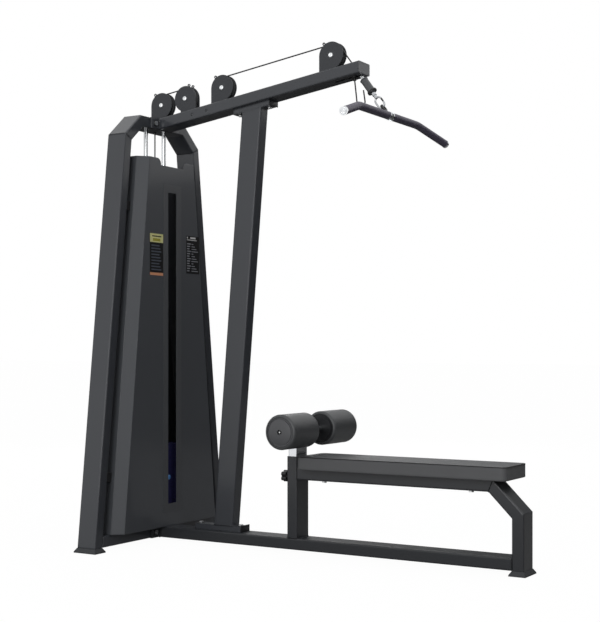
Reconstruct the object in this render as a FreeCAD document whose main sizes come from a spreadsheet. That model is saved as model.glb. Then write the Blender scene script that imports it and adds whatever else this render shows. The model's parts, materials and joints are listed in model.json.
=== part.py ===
"""Lat pulldown machine: a weight tower, an overhead cable beam and a bench with thigh rollers.

Millimetres. +X runs from the weight tower along the bench, +Y crosses the machine to the right of
someone who sits on the bench and faces the tower, +Z is up. The origin is on the floor under the
middle of the machine. Heights are measured from the floor, and a "reach" is measured along X from the
centre plane of the tower. Pieces on the pull cable are drawn upright, then tilted with the cable.
"""

import FreeCAD, Part
import math
import os
import re
import Sketcher

doc = FreeCAD.newDocument("LatPulldown")

SIZES = {
    # Welded frame, all of one rectangular tube
    "tower_station": -867,
    "tube_width": 100,
    "tube_depth": 50,
    "tube_wall": 3,
    "tube_corner": 6,
    "plate_thickness": 10,
    "flange_reach": 100,
    "tower_foot_reach": 486,
    "tower_lean": 6.5,
    "tower_shoulder_drop": 97,
    "tower_top_reach": 166,
    "tower_height": 1935,
    "foot_height": 20,
    "foot_flare": 10,
    "foot_lip": 5,
    "post_reach": 403,
    "post_lean": 4.7,
    "post_depth": 60,
    "post_bar_height": 25,
    "post_bar_wall": 3,
    "post_base_rear": 153,
    "post_base_front": 93,
    "post_top_rear": 94,
    "post_top_front": 92,
    "beam_reach": 1099,
    "beam_slope": 7.95,
    # Cable, wheels and their brackets
    "cable_radius": 3,
    "cable_clearance": 0.3,
    "running_clearance": 0.05,
    "bolt_clearance": 0.2,
    "pitch_radius": 50,
    "wheel_rim": 5.5,
    "wheel_half_width": 12,
    "wheel_groove": 7.5,
    "groove_floor": 1.8,
    "wheel_web": 6,
    "wheel_hub_radius": 16,
    "axle_radius": 6,
    "axle_head_radius": 11,
    "axle_head_height": 7,
    "bracket_radius": 58,
    "bracket_inside": 13,
    "bracket_thickness": 4,
    "bracket_foot": 25,
    "ear_reach": 62,
    "ear_radius": 7,
    "ear_hole_radius": 3.2,
    "pulley_rise": 65.5,
    "rear_pulley_reach": 185,
    "middle_pulley_reach": 388,
    "front_pulley_setback": 150,
    "rear_ear_angle": 70,
    "front_ear_angle": 124,
    "guide_pitch_radius": 12,
    "guide_flange": 4,
    "guide_half_width": 8,
    "guide_height": 24,
    "slot_width": 20,
    "slot_margin": 12,
    "entry_slot_behind": 29,
    "entry_slot_ahead": 25,
    "exit_slot_behind": 118,
    "exit_slot_ahead": 6,
    # Weight stack
    "rod_radius": 9.5,
    "rod_offset": 67,
    "bumper_height": 51,
    "bumper_radius": 25,
    "plate_length": 280,
    "plate_depth": 120,
    "plate_pitch": 20,
    "plate_gap": 0.4,
    "plate_corner": 8,
    "rod_hole_radius": 12,
    "selector_hole_radius": 14,
    "selector_rod_radius": 12,
    "pin_radius": 5,
    "pin_clearance": 0.5,
    "pin_handle_radius": 11,
    "pin_handle_length": 22,
    "resting_plates": 8,
    "lifted_plates": 7,
    "bushing_radius": 13,
    "bushing_flange": 17,
    "bushing_rise": 14,
    "stud_radius": 8,
    "stud_height": 60,
    "stack_nut": 26,
    # Sheet steel covers
    "cover_depth": 100,
    "cover_chamfer": 42,
    "cover_foot_gap": 40.7,
    "cover_top_gap": 28.9,
    "cover_drop": 190,
    "cover_sheet": 2,
    "cover_seam": 0.5,
    "notch_reach": 84,
    "notch_depth": 30,
    "notch_round": 26,
    "window_reach": 32,
    "window_bottom": 173,
    "window_top_border": 149,
    "bezel_border": 36,
    "bezel_thickness": 1.2,
    "lower_bracket_height": 300,
    "upper_bracket_height": 1500,
    "bracket_height": 40,
    "bracket_width": 80,
    "label_width": 102,
    "label_height": 188,
    "label_drop": 383,
    "label_inner_reach": 64,
    "notice_inner_reach": 108,
    "notice_drop": 363,
    "notice_height": 176,
    "label_thickness": 0.6,
    # Bench
    "bench_front_reach": 775,
    "bench_rear_reach": 1799,
    "bench_elbow": 98,
    "front_leg_top": 420,
    "seat_rail_top": 371,
    "seat_front_reach": 832,
    "seat_rear_reach": 1775,
    "seat_half_width": 115,
    "seat_top": 430,
    "seat_corner": 25,
    "seat_edge": 10,
    "seat_board_height": 12,
    "seat_board_inset": 14,
    "soft_clearance": 0.3,
    "seat_bolt_inset": 90,
    "seat_bolt_offset": 25,
    # Thigh rollers
    "roller_axis_reach": 850,
    "roller_axis_height": 538,
    "roller_radius": 73.5,
    "roller_inner_end": 63,
    "roller_outer_end": 267,
    "roller_corner": 12,
    "roller_cap_radius": 61,
    "roller_cap_depth": 6,
    "shaft_radius": 12.5,
    "slider_depth": 40,
    "slider_width": 90,
    "slider_bottom": 90,
    "slider_shoulder": 20,
    "arm_width": 40,
    "knob_height": 330,
    "knob_radius": 26,
    "knob_length": 34,
    "knob_stud_radius": 5,
    "boss_radius": 14,
    "boss_length": 12,
    # Pull bar, and what hangs it from the cable
    "cable_lean": 36.4,
    "bar_drop": 384.7,
    "bar_radius": 12.5,
    "grip_radius": 16.5,
    "grip_inner_end": 17,
    "bar_bend": 265,
    "bar_bend_radius": 110,
    "bar_end_reach": 466,
    "bar_end_drop": 72,
    "end_cap_length": 9,
    "end_cap_radius": 17.5,
    "ring_width": 6,
    "ring_radius": 18.5,
    "ring_inner_end": 10,
    "lug_thickness": 8,
    "lug_radius": 18,
    "lug_hole_radius": 11,
    "lug_hole_height": 43,
    "hook_wire": 4,
    "hook_play": 1,
    "hook_half_width": 15,
    "hook_length": 51,
    "hook_neck_length": 13,
    "gate_rise": 17,
    "gate_length": 18,
    "gate_radius": 3.4,
    "gate_clearance": 0.6,
    "swivel_height": 20,
    "swivel_play": 1,
    "swivel_radius": 9,
    "swivel_stem_radius": 4,
    "stop_length": 70,
    "stop_radius": 16,
    "stop_flange_radius": 20,
    "stop_flange_height": 7,
    "ferrule_length": 20,
    "ferrule_radius": 7,
    "rest_root_gap": 30,
    "rest_rear_gap": 17,
    "rest_drop": 110,
    "rest_wire": 3,
    "rest_bend_radius": 19,
    "rest_tip_lean": 9,
    "rest_tip_length": 46,
}

# Places worked out from the sizes above.
LAYOUT = {
    "tower_shoulder_height": "tower_height - tower_shoulder_drop",
    "tower_shoulder_reach": "tower_foot_reach - tower_shoulder_height * tan(tower_lean)",
    "leg_breadth": "tube_depth / cos(tower_lean)",
    "base_top": "foot_height + tube_depth",
    "flange_front": "tube_width / 2 + plate_thickness",
    "beam_rear_under": "tower_height - tube_depth",
    "beam_breadth": "tube_depth / cos(beam_slope)",
    "post_bar_breadth": "post_bar_height / cos(beam_slope)",
    "post_bar_skin": "post_bar_wall / cos(beam_slope)",
    "stack_bottom": "base_top + bumper_height",
    "stack_split": "stack_bottom + resting_plates * plate_pitch",
    "top_plate_bottom": "stack_split + lifted_plates * plate_pitch",
    "stack_top": "top_plate_bottom + plate_pitch",
    "stud_top": "stack_top + stud_height",
    "pin_height": "stack_split + (plate_pitch - plate_gap) / 2",
    "cover_top": "tower_height - cover_drop",
    "window_top": "cover_top - window_top_border",
    "cover_foot_reach": "tower_foot_reach - base_top * tan(tower_lean) - leg_breadth - cover_foot_gap",
    "cover_top_reach": "tower_foot_reach - cover_top * tan(tower_lean) - leg_breadth - cover_top_gap",
    "label_bottom": "window_top - label_drop",
    "notice_bottom": "window_top - notice_drop",
    "cover_lean": "atan((cover_foot_reach - cover_top_reach) / (cover_top - base_top))",
    "groove_radius": "pitch_radius - cable_radius - cable_clearance",
    "guide_groove_radius": "guide_pitch_radius - cable_radius - cable_clearance",
    "front_pulley_reach": "beam_reach - front_pulley_setback",
    "cable_leave_reach": "front_pulley_reach + pitch_radius * cos(cable_lean)",
    "cable_leave_rise": "pulley_rise"
                        " + pitch_radius * (sin(cable_lean) - cos(cable_lean) * tan(beam_slope))",
    "cable_steepness": "cos(cable_lean) + sin(cable_lean) * tan(beam_slope)",
    "cable_entry_reach": "cable_leave_reach + cable_leave_rise / cable_steepness * sin(cable_lean)",
    "cable_exit_reach": "cable_entry_reach + beam_breadth / cable_steepness * sin(cable_lean)",
    "rest_root_reach": "cable_exit_reach - rest_root_gap",
    "rest_rear_reach": "cable_exit_reach - rest_rear_gap",
    "bar_reach": "cable_leave_reach + bar_drop * sin(cable_lean)",
    "bar_end_lean": "atan(bar_end_drop / (bar_end_reach - bar_bend))",
    "hook_bottom": "lug_hole_height + lug_hole_radius - hook_wire - hook_play",
    "hook_top": "hook_bottom + hook_length",
    "gate_bottom": "hook_bottom + gate_rise",
    "gate_top": "gate_bottom + gate_length",
    "gate_hinge": "gate_top - gate_clearance - gate_radius",
    "swivel_bottom": "hook_top + hook_neck_length",
    "stop_bottom": "swivel_bottom + swivel_height",
    "bench_rear_face": "bench_rear_reach - tube_depth / 2",
    "seat_rail_bottom": "seat_rail_top - tube_depth",
}

LEFT = -1
RIGHT = 1

dims = doc.addObject("Spreadsheet::Sheet", "dims")
for row, (alias, size) in enumerate(SIZES.items(), start=1):
    dims.set(f"A{row}", alias)
    dims.set(f"B{row}", str(size))
    dims.setAlias(f"B{row}", alias)
doc.recompute()


def bound(text):
    """The same expression with each size's name led by the sheet that holds it."""
    def lead(match):
        name = match.group(0)
        if name in SIZES:
            return "dims." + name
        if name in LAYOUT:
            return "layout." + name
        return name
    return re.sub(r"[A-Za-z_]\w*", lead, str(text))


layout = doc.addObject("Spreadsheet::Sheet", "layout")
for row, (alias, formula) in enumerate(LAYOUT.items(), start=1):
    layout.set(f"A{row}", alias)
    layout.set(f"B{row}", "=" + bound(formula))
    layout.setAlias(f"B{row}", alias)
doc.recompute()


def value(text):
    """The number that an expression in sizes comes to."""
    result = dims.evalExpression(bound(text))
    return float(getattr(result, "Value", result))


def bind(item, name, text):
    """Tie one property of an object to an expression in sizes."""
    item.setExpression(name, bound(text))


# ---------------------------------------------------------------- sketches

def new_body(label):
    body = doc.addObject("PartDesign::Body", label)
    body.Label = label
    body.AllowCompound = True
    return body


def sketch(body, role, offset="0"):
    """A sketch on one of the body's own planes, moved along +X, +Y or +Z by the offset."""
    item = body.newObject("Sketcher::SketchObject", body.Label + "_sketch")
    plane = [feature for feature in body.Origin.OriginFeatures if feature.Role == role][0]
    item.AttachmentSupport = [(plane, "")]
    item.MapMode = "FlatFace"
    if str(offset) != "0":
        towards = "-" if role == "XZ_Plane" else ""
        bind(item, "AttachmentOffset.Base.z", f"{towards}({offset})")
    return item


def pin_point(item, geometry, point, x, y):
    """Hold one point of a sketch at two expressions, measured from the sketch's origin."""
    for kind, text in (("DistanceX", x), ("DistanceY", y)):
        index = item.addConstraint(Sketcher.Constraint(kind, -1, 1, geometry, point, value(text)))
        bind(item, f"Constraints[{index}]", text)


def polygon(item, corners):
    """A closed outline of straight lines through the corners."""
    first = item.GeometryCount
    points = [FreeCAD.Vector(value(x), value(y), 0) for x, y in corners]
    for start, end in zip(points, points[1:] + points[:1]):
        item.addGeometry(Part.LineSegment(start, end), False)
    for step in range(len(corners)):
        following = first + (step + 1) % len(corners)
        item.addConstraint(Sketcher.Constraint("Coincident", first + step, 2, following, 1))
    for step, (x, y) in enumerate(corners):
        pin_point(item, first + step, 1, x, y)


def box_outline(item, x_low, y_low, x_high, y_high):
    polygon(item, [(x_low, y_low), (x_high, y_low), (x_high, y_high), (x_low, y_high)])


def hexagon(item, x, y, circumradius):
    corners = [(f"{x} + {circumradius} * cos({60 * step})", f"{y} + {circumradius} * sin({60 * step})")
               for step in range(6)]
    polygon(item, corners)


def circle(item, x, y, radius):
    centre = FreeCAD.Vector(value(x), value(y), 0)
    geometry = item.addGeometry(Part.Circle(centre, FreeCAD.Vector(0, 0, 1), value(radius)), False)
    pin_point(item, geometry, 3, x, y)
    index = item.addConstraint(Sketcher.Constraint("Radius", geometry, value(radius)))
    bind(item, f"Constraints[{index}]", radius)


# ---------------------------------------------------------------- features

def pad(body, item, length, symmetric=True, backwards=False):
    feature = body.newObject("PartDesign::Pad", body.Label + "_pad")
    feature.Profile = item
    feature.Midplane = symmetric
    feature.Reversed = backwards
    bind(feature, "Length", length)
    doc.recompute()
    return feature


def pocket(body, item, length, symmetric=True, backwards=False):
    """Cut a sketch's outline away; the cut has to take something off."""
    before = body.Shape.Volume
    feature = body.newObject("PartDesign::Pocket", body.Label + "_pocket")
    feature.Profile = item
    feature.Midplane = symmetric
    feature.Reversed = backwards
    bind(feature, "Length", length)
    doc.recompute()
    if body.Shape.Volume >= before:
        raise ValueError(f"the cut in {body.Label} takes nothing off")
    return feature


def revolve(body, corners, role="XY_Plane"):
    """Turn an outline given as (radius, height) pairs once round the sketch's vertical axis."""
    item = sketch(body, role)
    polygon(item, corners)
    feature = body.newObject("PartDesign::Revolution", body.Label + "_turned")
    feature.Profile = item
    feature.ReferenceAxis = (item, ["V_Axis"])
    feature.Angle = 360
    doc.recompute()
    return feature


def straight_edges(shape, directions):
    """Names of the straight edges that run along one of the directions."""
    names = []
    for number, edge in enumerate(shape.Edges, start=1):
        if edge.Curve.TypeId != "Part::GeomLine" or len(edge.Vertexes) < 2:
            continue
        along = edge.Vertexes[1].Point.sub(edge.Vertexes[0].Point).normalize()
        if any(abs(along.dot(direction)) > 0.9999 for direction in directions):
            names.append(f"Edge{number}")
    return names


def faces_towards(shape, direction, share=0.9):
    """Names of the flat faces that look along the direction, more or less."""
    names = []
    for number, face in enumerate(shape.Faces, start=1):
        if face.Surface.TypeId == "Part::GeomPlane" and face.normalAt(0, 0).dot(direction) > share:
            names.append(f"Face{number}")
    return names


def round_edges(body, feature, names, radius):
    item = body.newObject("PartDesign::Fillet", body.Label + "_round")
    item.Base = (feature, names)
    bind(item, "Radius", radius)
    doc.recompute()
    return item


def bevel_edges(body, feature, names, size):
    item = body.newObject("PartDesign::Chamfer", body.Label + "_bevel")
    item.Base = (feature, names)
    bind(item, "Size", size)
    doc.recompute()
    return item


def hollow(body, feature, names, wall):
    """Leave a wall of the given thickness, open at the named faces."""
    item = body.newObject("PartDesign::Thickness", body.Label + "_hollow")
    item.Base = (feature, names)
    item.Reversed = True
    bind(item, "Value", wall)
    doc.recompute()
    return item


def place(item, x="0", y="0", z="0", tilt=None):
    """Put an object's own origin at a place in the machine, tilted about Y if a tilt is given."""
    for name, text in (("x", x), ("y", y), ("z", z)):
        bind(item, "Placement.Base." + name, text)
    if tilt is not None:
        item.Placement.Rotation = FreeCAD.Rotation(FreeCAD.Vector(0, 1, 0), value(tilt))
        bind(item, "Placement.Rotation.Angle", tilt)


def hang_on_cable(item):
    """Tilt a piece that is drawn upright above the pull bar's centre so that it lies on the cable."""
    place(item, "tower_station + bar_reach", "0", BAR_HEIGHT, "-cable_lean")


def direction(x, y, z):
    return FreeCAD.Vector(x, y, z).normalize()


X, Y, Z = direction(1, 0, 0), direction(0, 1, 0), direction(0, 0, 1)


def tube(label, role, corners, width, runs, open_ends):
    """Rectangular tube from its side outline, with rounded long edges, open where it is cut off."""
    body = new_body(label)
    item = sketch(body, role)
    polygon(item, corners)
    solid = pad(body, item, width)
    rounded = round_edges(body, solid, straight_edges(solid.Shape, runs), "tube_corner")
    ends = []
    for end in open_ends:
        ends += faces_towards(rounded.Shape, end)
    hollow(body, rounded, ends, "tube_wall")
    return body


# ---------------------------------------------------------------- tower

def leg_face(height, inset="0"):
    """How far out the outside of a tower leg is at a height, less an inset."""
    return f"(tower_foot_reach - ({height}) * tan(tower_lean) - ({inset}))"


def offset_line(start, end, distance):
    """A line moved sideways by the distance, as a point and a unit direction."""
    along = (end[0] - start[0], end[1] - start[1])
    length = math.hypot(*along)
    along = (along[0] / length, along[1] / length)
    return (start[0] + along[1] * distance, start[1] - along[0] * distance), along


def tower_band(body, first, last):
    """Outline of one stretch of the tower's bent tube, cut on the mitres between its stretches.

    The outside line is fixed point by point. The inside line is drawn parallel to it at the tube's
    depth, so that each mitre falls where the two inside lines meet.
    """
    outside = [(leg_face("foot_height"), "foot_height"), ("tower_shoulder_reach", "tower_shoulder_height"),
               ("tower_top_reach", "tower_height"), ("-tower_top_reach", "tower_height"),
               ("-tower_shoulder_reach", "tower_shoulder_height"),
               ("-" + leg_face("foot_height"), "foot_height")]
    points = [(value(x), value(y)) for x, y in outside]
    depth = -value("tube_depth")
    lines = [offset_line(start, end, depth) for start, end in zip(points, points[1:])]
    level_foot = ((0, points[0][1]), (1, 0))
    inside = [meeting(line, other) for line, other in zip([level_foot] + lines, lines + [level_foot])]
    item = sketch(body, "YZ_Plane", "tower_station")
    for step in range(len(lines)):
        helper = not first <= step <= last
        for start, end in ((points[step], points[step + 1]), (inside[step], inside[step + 1])):
            line = Part.LineSegment(FreeCAD.Vector(*start, 0), FreeCAD.Vector(*end, 0))
            item.addGeometry(line, helper)
    for step in range(len(lines)):
        outer, inner = 2 * step, 2 * step + 1
        pin_point(item, outer, 1, *outside[step])
        item.addConstraint(Sketcher.Constraint("Parallel", outer, inner))
        index = item.addConstraint(Sketcher.Constraint("Distance", inner, 1, outer, value("tube_depth")))
        bind(item, f"Constraints[{index}]", "tube_depth")
        if step < len(lines) - 1:
            item.addConstraint(Sketcher.Constraint("Coincident", outer, 2, outer + 2, 1))
            item.addConstraint(Sketcher.Constraint("Coincident", inner, 2, inner + 2, 1))
    pin_point(item, outer, 2, *outside[-1])
    for outer_end, inner_end in (((0, 1), (1, 1)), ((outer, 2), (inner, 2))):
        item.addConstraint(Sketcher.Constraint("Horizontal", *outer_end, *inner_end))
    for step, point in ((first, 1), (last, 2)):
        corner = step + point - 1
        ends = [FreeCAD.Vector(*side[corner], 0) for side in (points, inside)]
        index = item.addGeometry(Part.LineSegment(*ends), False)
        item.addConstraint(Sketcher.Constraint("Coincident", index, 1, 2 * step, point))
        item.addConstraint(Sketcher.Constraint("Coincident", index, 2, 2 * step + 1, point))
    runs = []
    for (x, y), (next_x, next_y) in zip(points[first:last + 1], points[first + 1:last + 2]):
        runs.append(direction(0, next_x - x, next_y - y))
    mitres = []
    for corner, outward in ((first, -1), (last + 1, 1)):
        across = direction(0, points[corner][0] - inside[corner][0], points[corner][1] - inside[corner][1])
        normal = direction(0, -across.z, across.y)
        run = runs[0] if outward < 0 else runs[-1]
        mitres.append(normal * outward * (1 if normal.dot(run) > 0 else -1))
    solid = pad(body, item, "tube_width")
    rounded = round_edges(body, solid, straight_edges(solid.Shape, runs), "tube_corner")
    ends = []
    for normal in mitres:
        ends += faces_towards(rounded.Shape, normal, 0.9999)
    hollow(body, rounded, ends, "tube_wall")


def meeting(line, other):
    """Where two lines meet, each given as a point and a direction."""
    (ax, ay), (ux, uy) = line
    (bx, by), (vx, vy) = other
    share = ((bx - ax) * vy - (by - ay) * vx) / (ux * vy - uy * vx)
    return (ax + ux * share, ay + uy * share)


def tower():
    for label, first, last in (("tower_leg_right", 0, 0), ("tower_top", 1, 3), ("tower_leg_left", 4, 4)):
        tower_band(new_body(label), first, last)
    top = doc.getObject("tower_top")
    hole = sketch(top, "XY_Plane", "tower_height - tube_depth / 2")
    circle(hole, "tower_station", "0", "slot_width / 2")
    pocket(top, hole, "tube_depth * 2")
    bolts = sketch(top, "YZ_Plane", "tower_station + tube_width / 2")
    for side in (LEFT, RIGHT):
        circle(bolts, f"{side} * {FLANGE_BOLT_OFFSET}", "tower_height - tube_depth / 2",
               "axle_radius + bolt_clearance")
    pocket(top, bolts, "tube_width / 4")

    def inner(height):
        return leg_face(height, "leg_breadth")
    corners = [("-" + inner("foot_height"), "foot_height"), (inner("foot_height"), "foot_height"),
               (inner("base_top"), "base_top"), ("-" + inner("base_top"), "base_top")]
    cross = new_body("tower_crossmember")
    item = sketch(cross, "YZ_Plane", "tower_station")
    polygon(item, corners)
    solid = pad(cross, item, "tube_width")
    rounded = round_edges(cross, solid, straight_edges(solid.Shape, [Y]), "tube_corner")
    ends = faces_towards(rounded.Shape, Y) + faces_towards(rounded.Shape, -Y)
    hollow(cross, rounded, ends, "tube_wall")
    bolts = sketch(cross, "YZ_Plane", "tower_station + tube_width / 2")
    for side in (LEFT, RIGHT):
        circle(bolts, f"{side} * {FLANGE_BOLT_OFFSET}", "foot_height + tube_depth / 2",
               "axle_radius + bolt_clearance")
    pocket(cross, bolts, "tube_width / 4")


FLANGE_BOLT_OFFSET = "(flange_reach - 28)"


def foot_caps():
    """Flared caps under the two tower legs and the bench's rear leg."""
    leg_middle = leg_face("foot_height", "leg_breadth / 2")
    feet = [("tower_station", f"{side} * {leg_middle}", "tube_width / 2", "leg_breadth / 2")
            for side in (LEFT, RIGHT)]
    feet.append(("tower_station + bench_rear_reach", "0", "tube_depth / 2", "tube_width / 2"))
    caps = []
    for number, (x, y, half_x, half_y) in enumerate(feet, start=1):
        lip = doc.addObject("Part::Box", f"foot_{number}_lip")
        flare = doc.addObject("Part::Wedge", f"foot_{number}_flare")
        bind(lip, "Length", f"2 * ({half_x} + foot_flare)")
        bind(lip, "Width", f"2 * ({half_y} + foot_flare)")
        bind(lip, "Height", "foot_lip")
        place(lip, f"{x} - ({half_x} + foot_flare)", f"{y} - ({half_y} + foot_flare)")
        for name, text in (("Xmin", f"-({half_x} + foot_flare)"), ("Xmax", f"{half_x} + foot_flare"),
                           ("Zmin", f"-({half_y} + foot_flare)"), ("Zmax", f"{half_y} + foot_flare"),
                           ("X2min", f"-({half_x})"), ("X2max", half_x), ("Z2min", f"-({half_y})"),
                           ("Z2max", half_y), ("Ymin", "0"), ("Ymax", "foot_height - foot_lip")):
            bind(flare, name, text)
        flare.Placement.Rotation = FreeCAD.Rotation(FreeCAD.Vector(1, 0, 0), 90)
        place(flare, x, y, "foot_lip")
        cap = doc.addObject("Part::Fuse", f"foot_{number}")
        cap.Base = lip
        cap.Tool = flare
        caps.append(cap)
    group("foot_caps", caps)


def group(label, members):
    """One node that holds several alike pieces, each its own solid."""
    item = doc.addObject("Part::Compound", label)
    item.Label = label
    item.Links = members
    doc.recompute()
    return item


# ---------------------------------------------------------------- base, post and beam

def beam_under(reach):
    return f"(beam_rear_under + (({reach}) - flange_front) * tan(beam_slope))"


def beam_top(reach):
    return f"({beam_under(reach)} + beam_breadth)"


def post_side(reach, height):
    """Reach of one side line of the leaning post at a height, from its reach at the bar under its foot."""
    return f"({reach} + ({height} - base_top - post_bar_height) * tan(post_lean))"


def post_meets_bar(reach):
    """Height at which a side line of the post meets the bar under the beam."""
    level = f"({beam_under(reach)} - post_bar_breadth - base_top - post_bar_height)"
    rise = f"({level} / (1 - tan(post_lean) * tan(beam_slope)))"
    return f"(base_top + post_bar_height + {rise})"


POST_BOLT_INSET = "(axle_head_radius + 5)"


def post_top_reach():
    return post_side("post_reach", post_meets_bar("post_reach"))


def base_tube():
    front = "tower_station + bench_rear_face"
    rear = "tower_station + flange_front"
    body = tube("base_tube", "XZ_Plane",
                [(rear, "foot_height"), (front, "foot_height"), (front, "base_top"), (rear, "base_top")],
                "tube_width", [X], [X, -X])
    plate = sketch(body, "XZ_Plane")
    box_outline(plate, "tower_station + tube_width / 2", "foot_height", rear, "base_top")
    pad(body, plate, "2 * flange_reach")
    bolts = sketch(body, "YZ_Plane", rear)
    for side in (LEFT, RIGHT):
        circle(bolts, f"{side} * {FLANGE_BOLT_OFFSET}", "foot_height + tube_depth / 2",
               "axle_radius + bolt_clearance")
    pocket(body, bolts, "plate_thickness * 3")
    holes = sketch(body, "XY_Plane", "base_top")
    for reach in POST_BASE_BOLTS:
        circle(holes, f"tower_station + {reach}", "0", "axle_radius + bolt_clearance")
    pocket(body, holes, "tube_wall * 2")


POST_BASE_BOLTS = (f"(post_reach - post_base_rear + {POST_BOLT_INSET})",
                   f"(post_reach + post_base_front - {POST_BOLT_INSET})")


def post():
    """The leaning post, welded at each end to a short hollow bar that is bolted to its neighbour."""
    foot = "base_top + post_bar_height"
    rear_foot = "(post_reach - tube_width / 2)"
    front_foot = "(post_reach + tube_width / 2)"
    rear_top = post_meets_bar(rear_foot)
    front_top = post_meets_bar(front_foot)
    corners = [(f"tower_station + {rear_foot}", foot), (f"tower_station + {front_foot}", foot),
               (f"tower_station + {post_side(front_foot, front_top)}", front_top),
               (f"tower_station + {post_side(rear_foot, rear_top)}", rear_top)]
    lean = math.radians(value("post_lean"))
    body = tube("post", "XZ_Plane", corners, "post_depth",
                [direction(math.sin(lean), 0, math.cos(lean))], [Z, -Z])
    middle = post_top_reach()
    rear, front = "(post_reach - post_base_rear)", "(post_reach + post_base_front)"
    hollow_bar(body, (rear, front), lambda reach, inset: f"base_top + ({inset}) * post_bar_wall",
               lambda reach, inset: f"{foot} - ({inset}) * post_bar_wall")
    rear, front = f"({middle} - post_top_rear)", f"({middle} + post_top_front)"
    hollow_bar(body, (rear, front),
               lambda reach, inset: f"{beam_under(reach)} - post_bar_breadth + ({inset}) * post_bar_skin",
               lambda reach, inset: f"{beam_under(reach)} - ({inset}) * post_bar_skin")
    holes = sketch(body, "XY_Plane", foot)
    for reach in POST_BASE_BOLTS:
        circle(holes, f"tower_station + {reach}", "0", "axle_radius + bolt_clearance")
    pocket(body, holes, "post_bar_height * 3")
    holes = sketch_under_beam(body)
    for x, y in post_top_places():
        circle(holes, x, y, "axle_radius + bolt_clearance")
    pocket(body, holes, "post_bar_height * 3")


def hollow_bar(body, reaches, under, over):
    """A bar of rectangular tube along X, open at both ends, between an under and an upper line."""
    for inset, width, work in (("0", "post_depth", pad),
                               ("1", "post_depth - 2 * post_bar_wall", pocket)):
        item = sketch(body, "XZ_Plane")
        rear, front = reaches
        polygon(item, [(f"tower_station + {rear}", under(rear, inset)),
                       (f"tower_station + {front}", under(front, inset)),
                       (f"tower_station + {front}", over(front, inset)),
                       (f"tower_station + {rear}", over(rear, inset))])
        work(body, item, width)


def sketch_under_beam(body):
    """A sketch on the sloping face where the bar at the post's head meets the beam."""
    item = sketch(body, "XY_Plane")
    middle = post_top_reach()
    item.AttachmentOffset = FreeCAD.Placement(FreeCAD.Vector(), FreeCAD.Rotation(-Y, value("beam_slope")))
    bind(item, "AttachmentOffset.Base.x", f"tower_station + {middle}")
    bind(item, "AttachmentOffset.Base.z", beam_under(middle))
    bind(item, "AttachmentOffset.Rotation.Angle", "beam_slope")
    return item


def post_top_places():
    """Centres of the bolts at the post's head, along the slope from the middle of the post."""
    middle = post_top_reach()
    return [(f"({reach} - {middle}) / cos(beam_slope)", "0") for reach in post_top_bolts()]


def post_top_bolts():
    middle = post_top_reach()
    return (f"({middle} - post_top_rear + {POST_BOLT_INSET})",
            f"({middle} + post_top_front - {POST_BOLT_INSET})")


def beam():
    rear, front = "flange_front", "beam_reach"
    corners = [(f"tower_station + {rear}", beam_under(rear)),
               (f"tower_station + {front}", beam_under(front)),
               (f"tower_station + {front}", beam_top(front)),
               (f"tower_station + {rear}", beam_top(rear))]
    slope = math.radians(value("beam_slope"))
    body = tube("beam", "XZ_Plane", corners, "tube_width",
                [direction(math.cos(slope), 0, math.sin(slope))], [-X])
    plate = sketch(body, "XZ_Plane")
    box_outline(plate, "tower_station + tube_width / 2", "beam_rear_under",
                "tower_station + flange_front", "tower_height")
    pad(body, plate, "2 * flange_reach")
    bolts = sketch(body, "YZ_Plane", "tower_station + flange_front")
    for side in (LEFT, RIGHT):
        circle(bolts, f"{side} * {FLANGE_BOLT_OFFSET}", "tower_height - tube_depth / 2",
               "axle_radius + bolt_clearance")
    pocket(body, bolts, "plate_thickness * 3")
    for run in ("rear_pulley_reach + pitch_radius", "middle_pulley_reach - pitch_radius"):
        cut_beam_slot(body, f"{run} - slot_margin", f"{run} + slot_margin", "above")
    cut_beam_slot(body, "cable_entry_reach - entry_slot_behind", "cable_entry_reach + entry_slot_ahead",
                  "above")
    cut_beam_slot(body, "cable_exit_reach - exit_slot_behind", "cable_exit_reach + exit_slot_ahead",
                  "below")
    holes = sketch_under_beam(body)
    for x, y in post_top_places():
        circle(holes, x, y, "axle_radius + bolt_clearance")
    pocket(body, holes, "tube_depth / 2")
    holes = sketch(body, "XZ_Plane")
    for reach in GUIDE_REACHES:
        circle(holes, f"tower_station + {reach}", f"{beam_under(reach)} + guide_height",
               "knob_stud_radius + bolt_clearance")
    pocket(body, holes, "tube_width * 1.5")


def cut_beam_slot(body, start, end, side):
    """A slot for the cable through the beam's upper or lower wall only."""
    item = sketch(body, "XY_Plane", f"{beam_under(start)} + beam_breadth / 2")
    box_outline(item, f"tower_station + {start}", "-slot_width / 2",
                f"tower_station + {end}", "slot_width / 2")
    pocket(body, item, "tube_depth * 1.5", symmetric=False, backwards=side == "above")


GUIDE_REACHES = ("(rear_pulley_reach + pitch_radius + guide_pitch_radius)",
                 "(middle_pulley_reach - pitch_radius - guide_pitch_radius)")


def bolts_through(body, role, places, offset, shank_out, shank_in, head_height):
    """Hex-headed bolts: a shank through the joint and a head on its outside."""
    shank = sketch(body, role, offset)
    for x, y in places:
        circle(shank, x, y, "axle_radius")
    pad(body, shank, shank_in, symmetric=False, backwards=shank_out)
    head = sketch(body, role, offset)
    for x, y in places:
        hexagon(head, x, y, "axle_head_radius")
    pad(body, head, head_height, symmetric=False, backwards=not shank_out)


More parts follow.
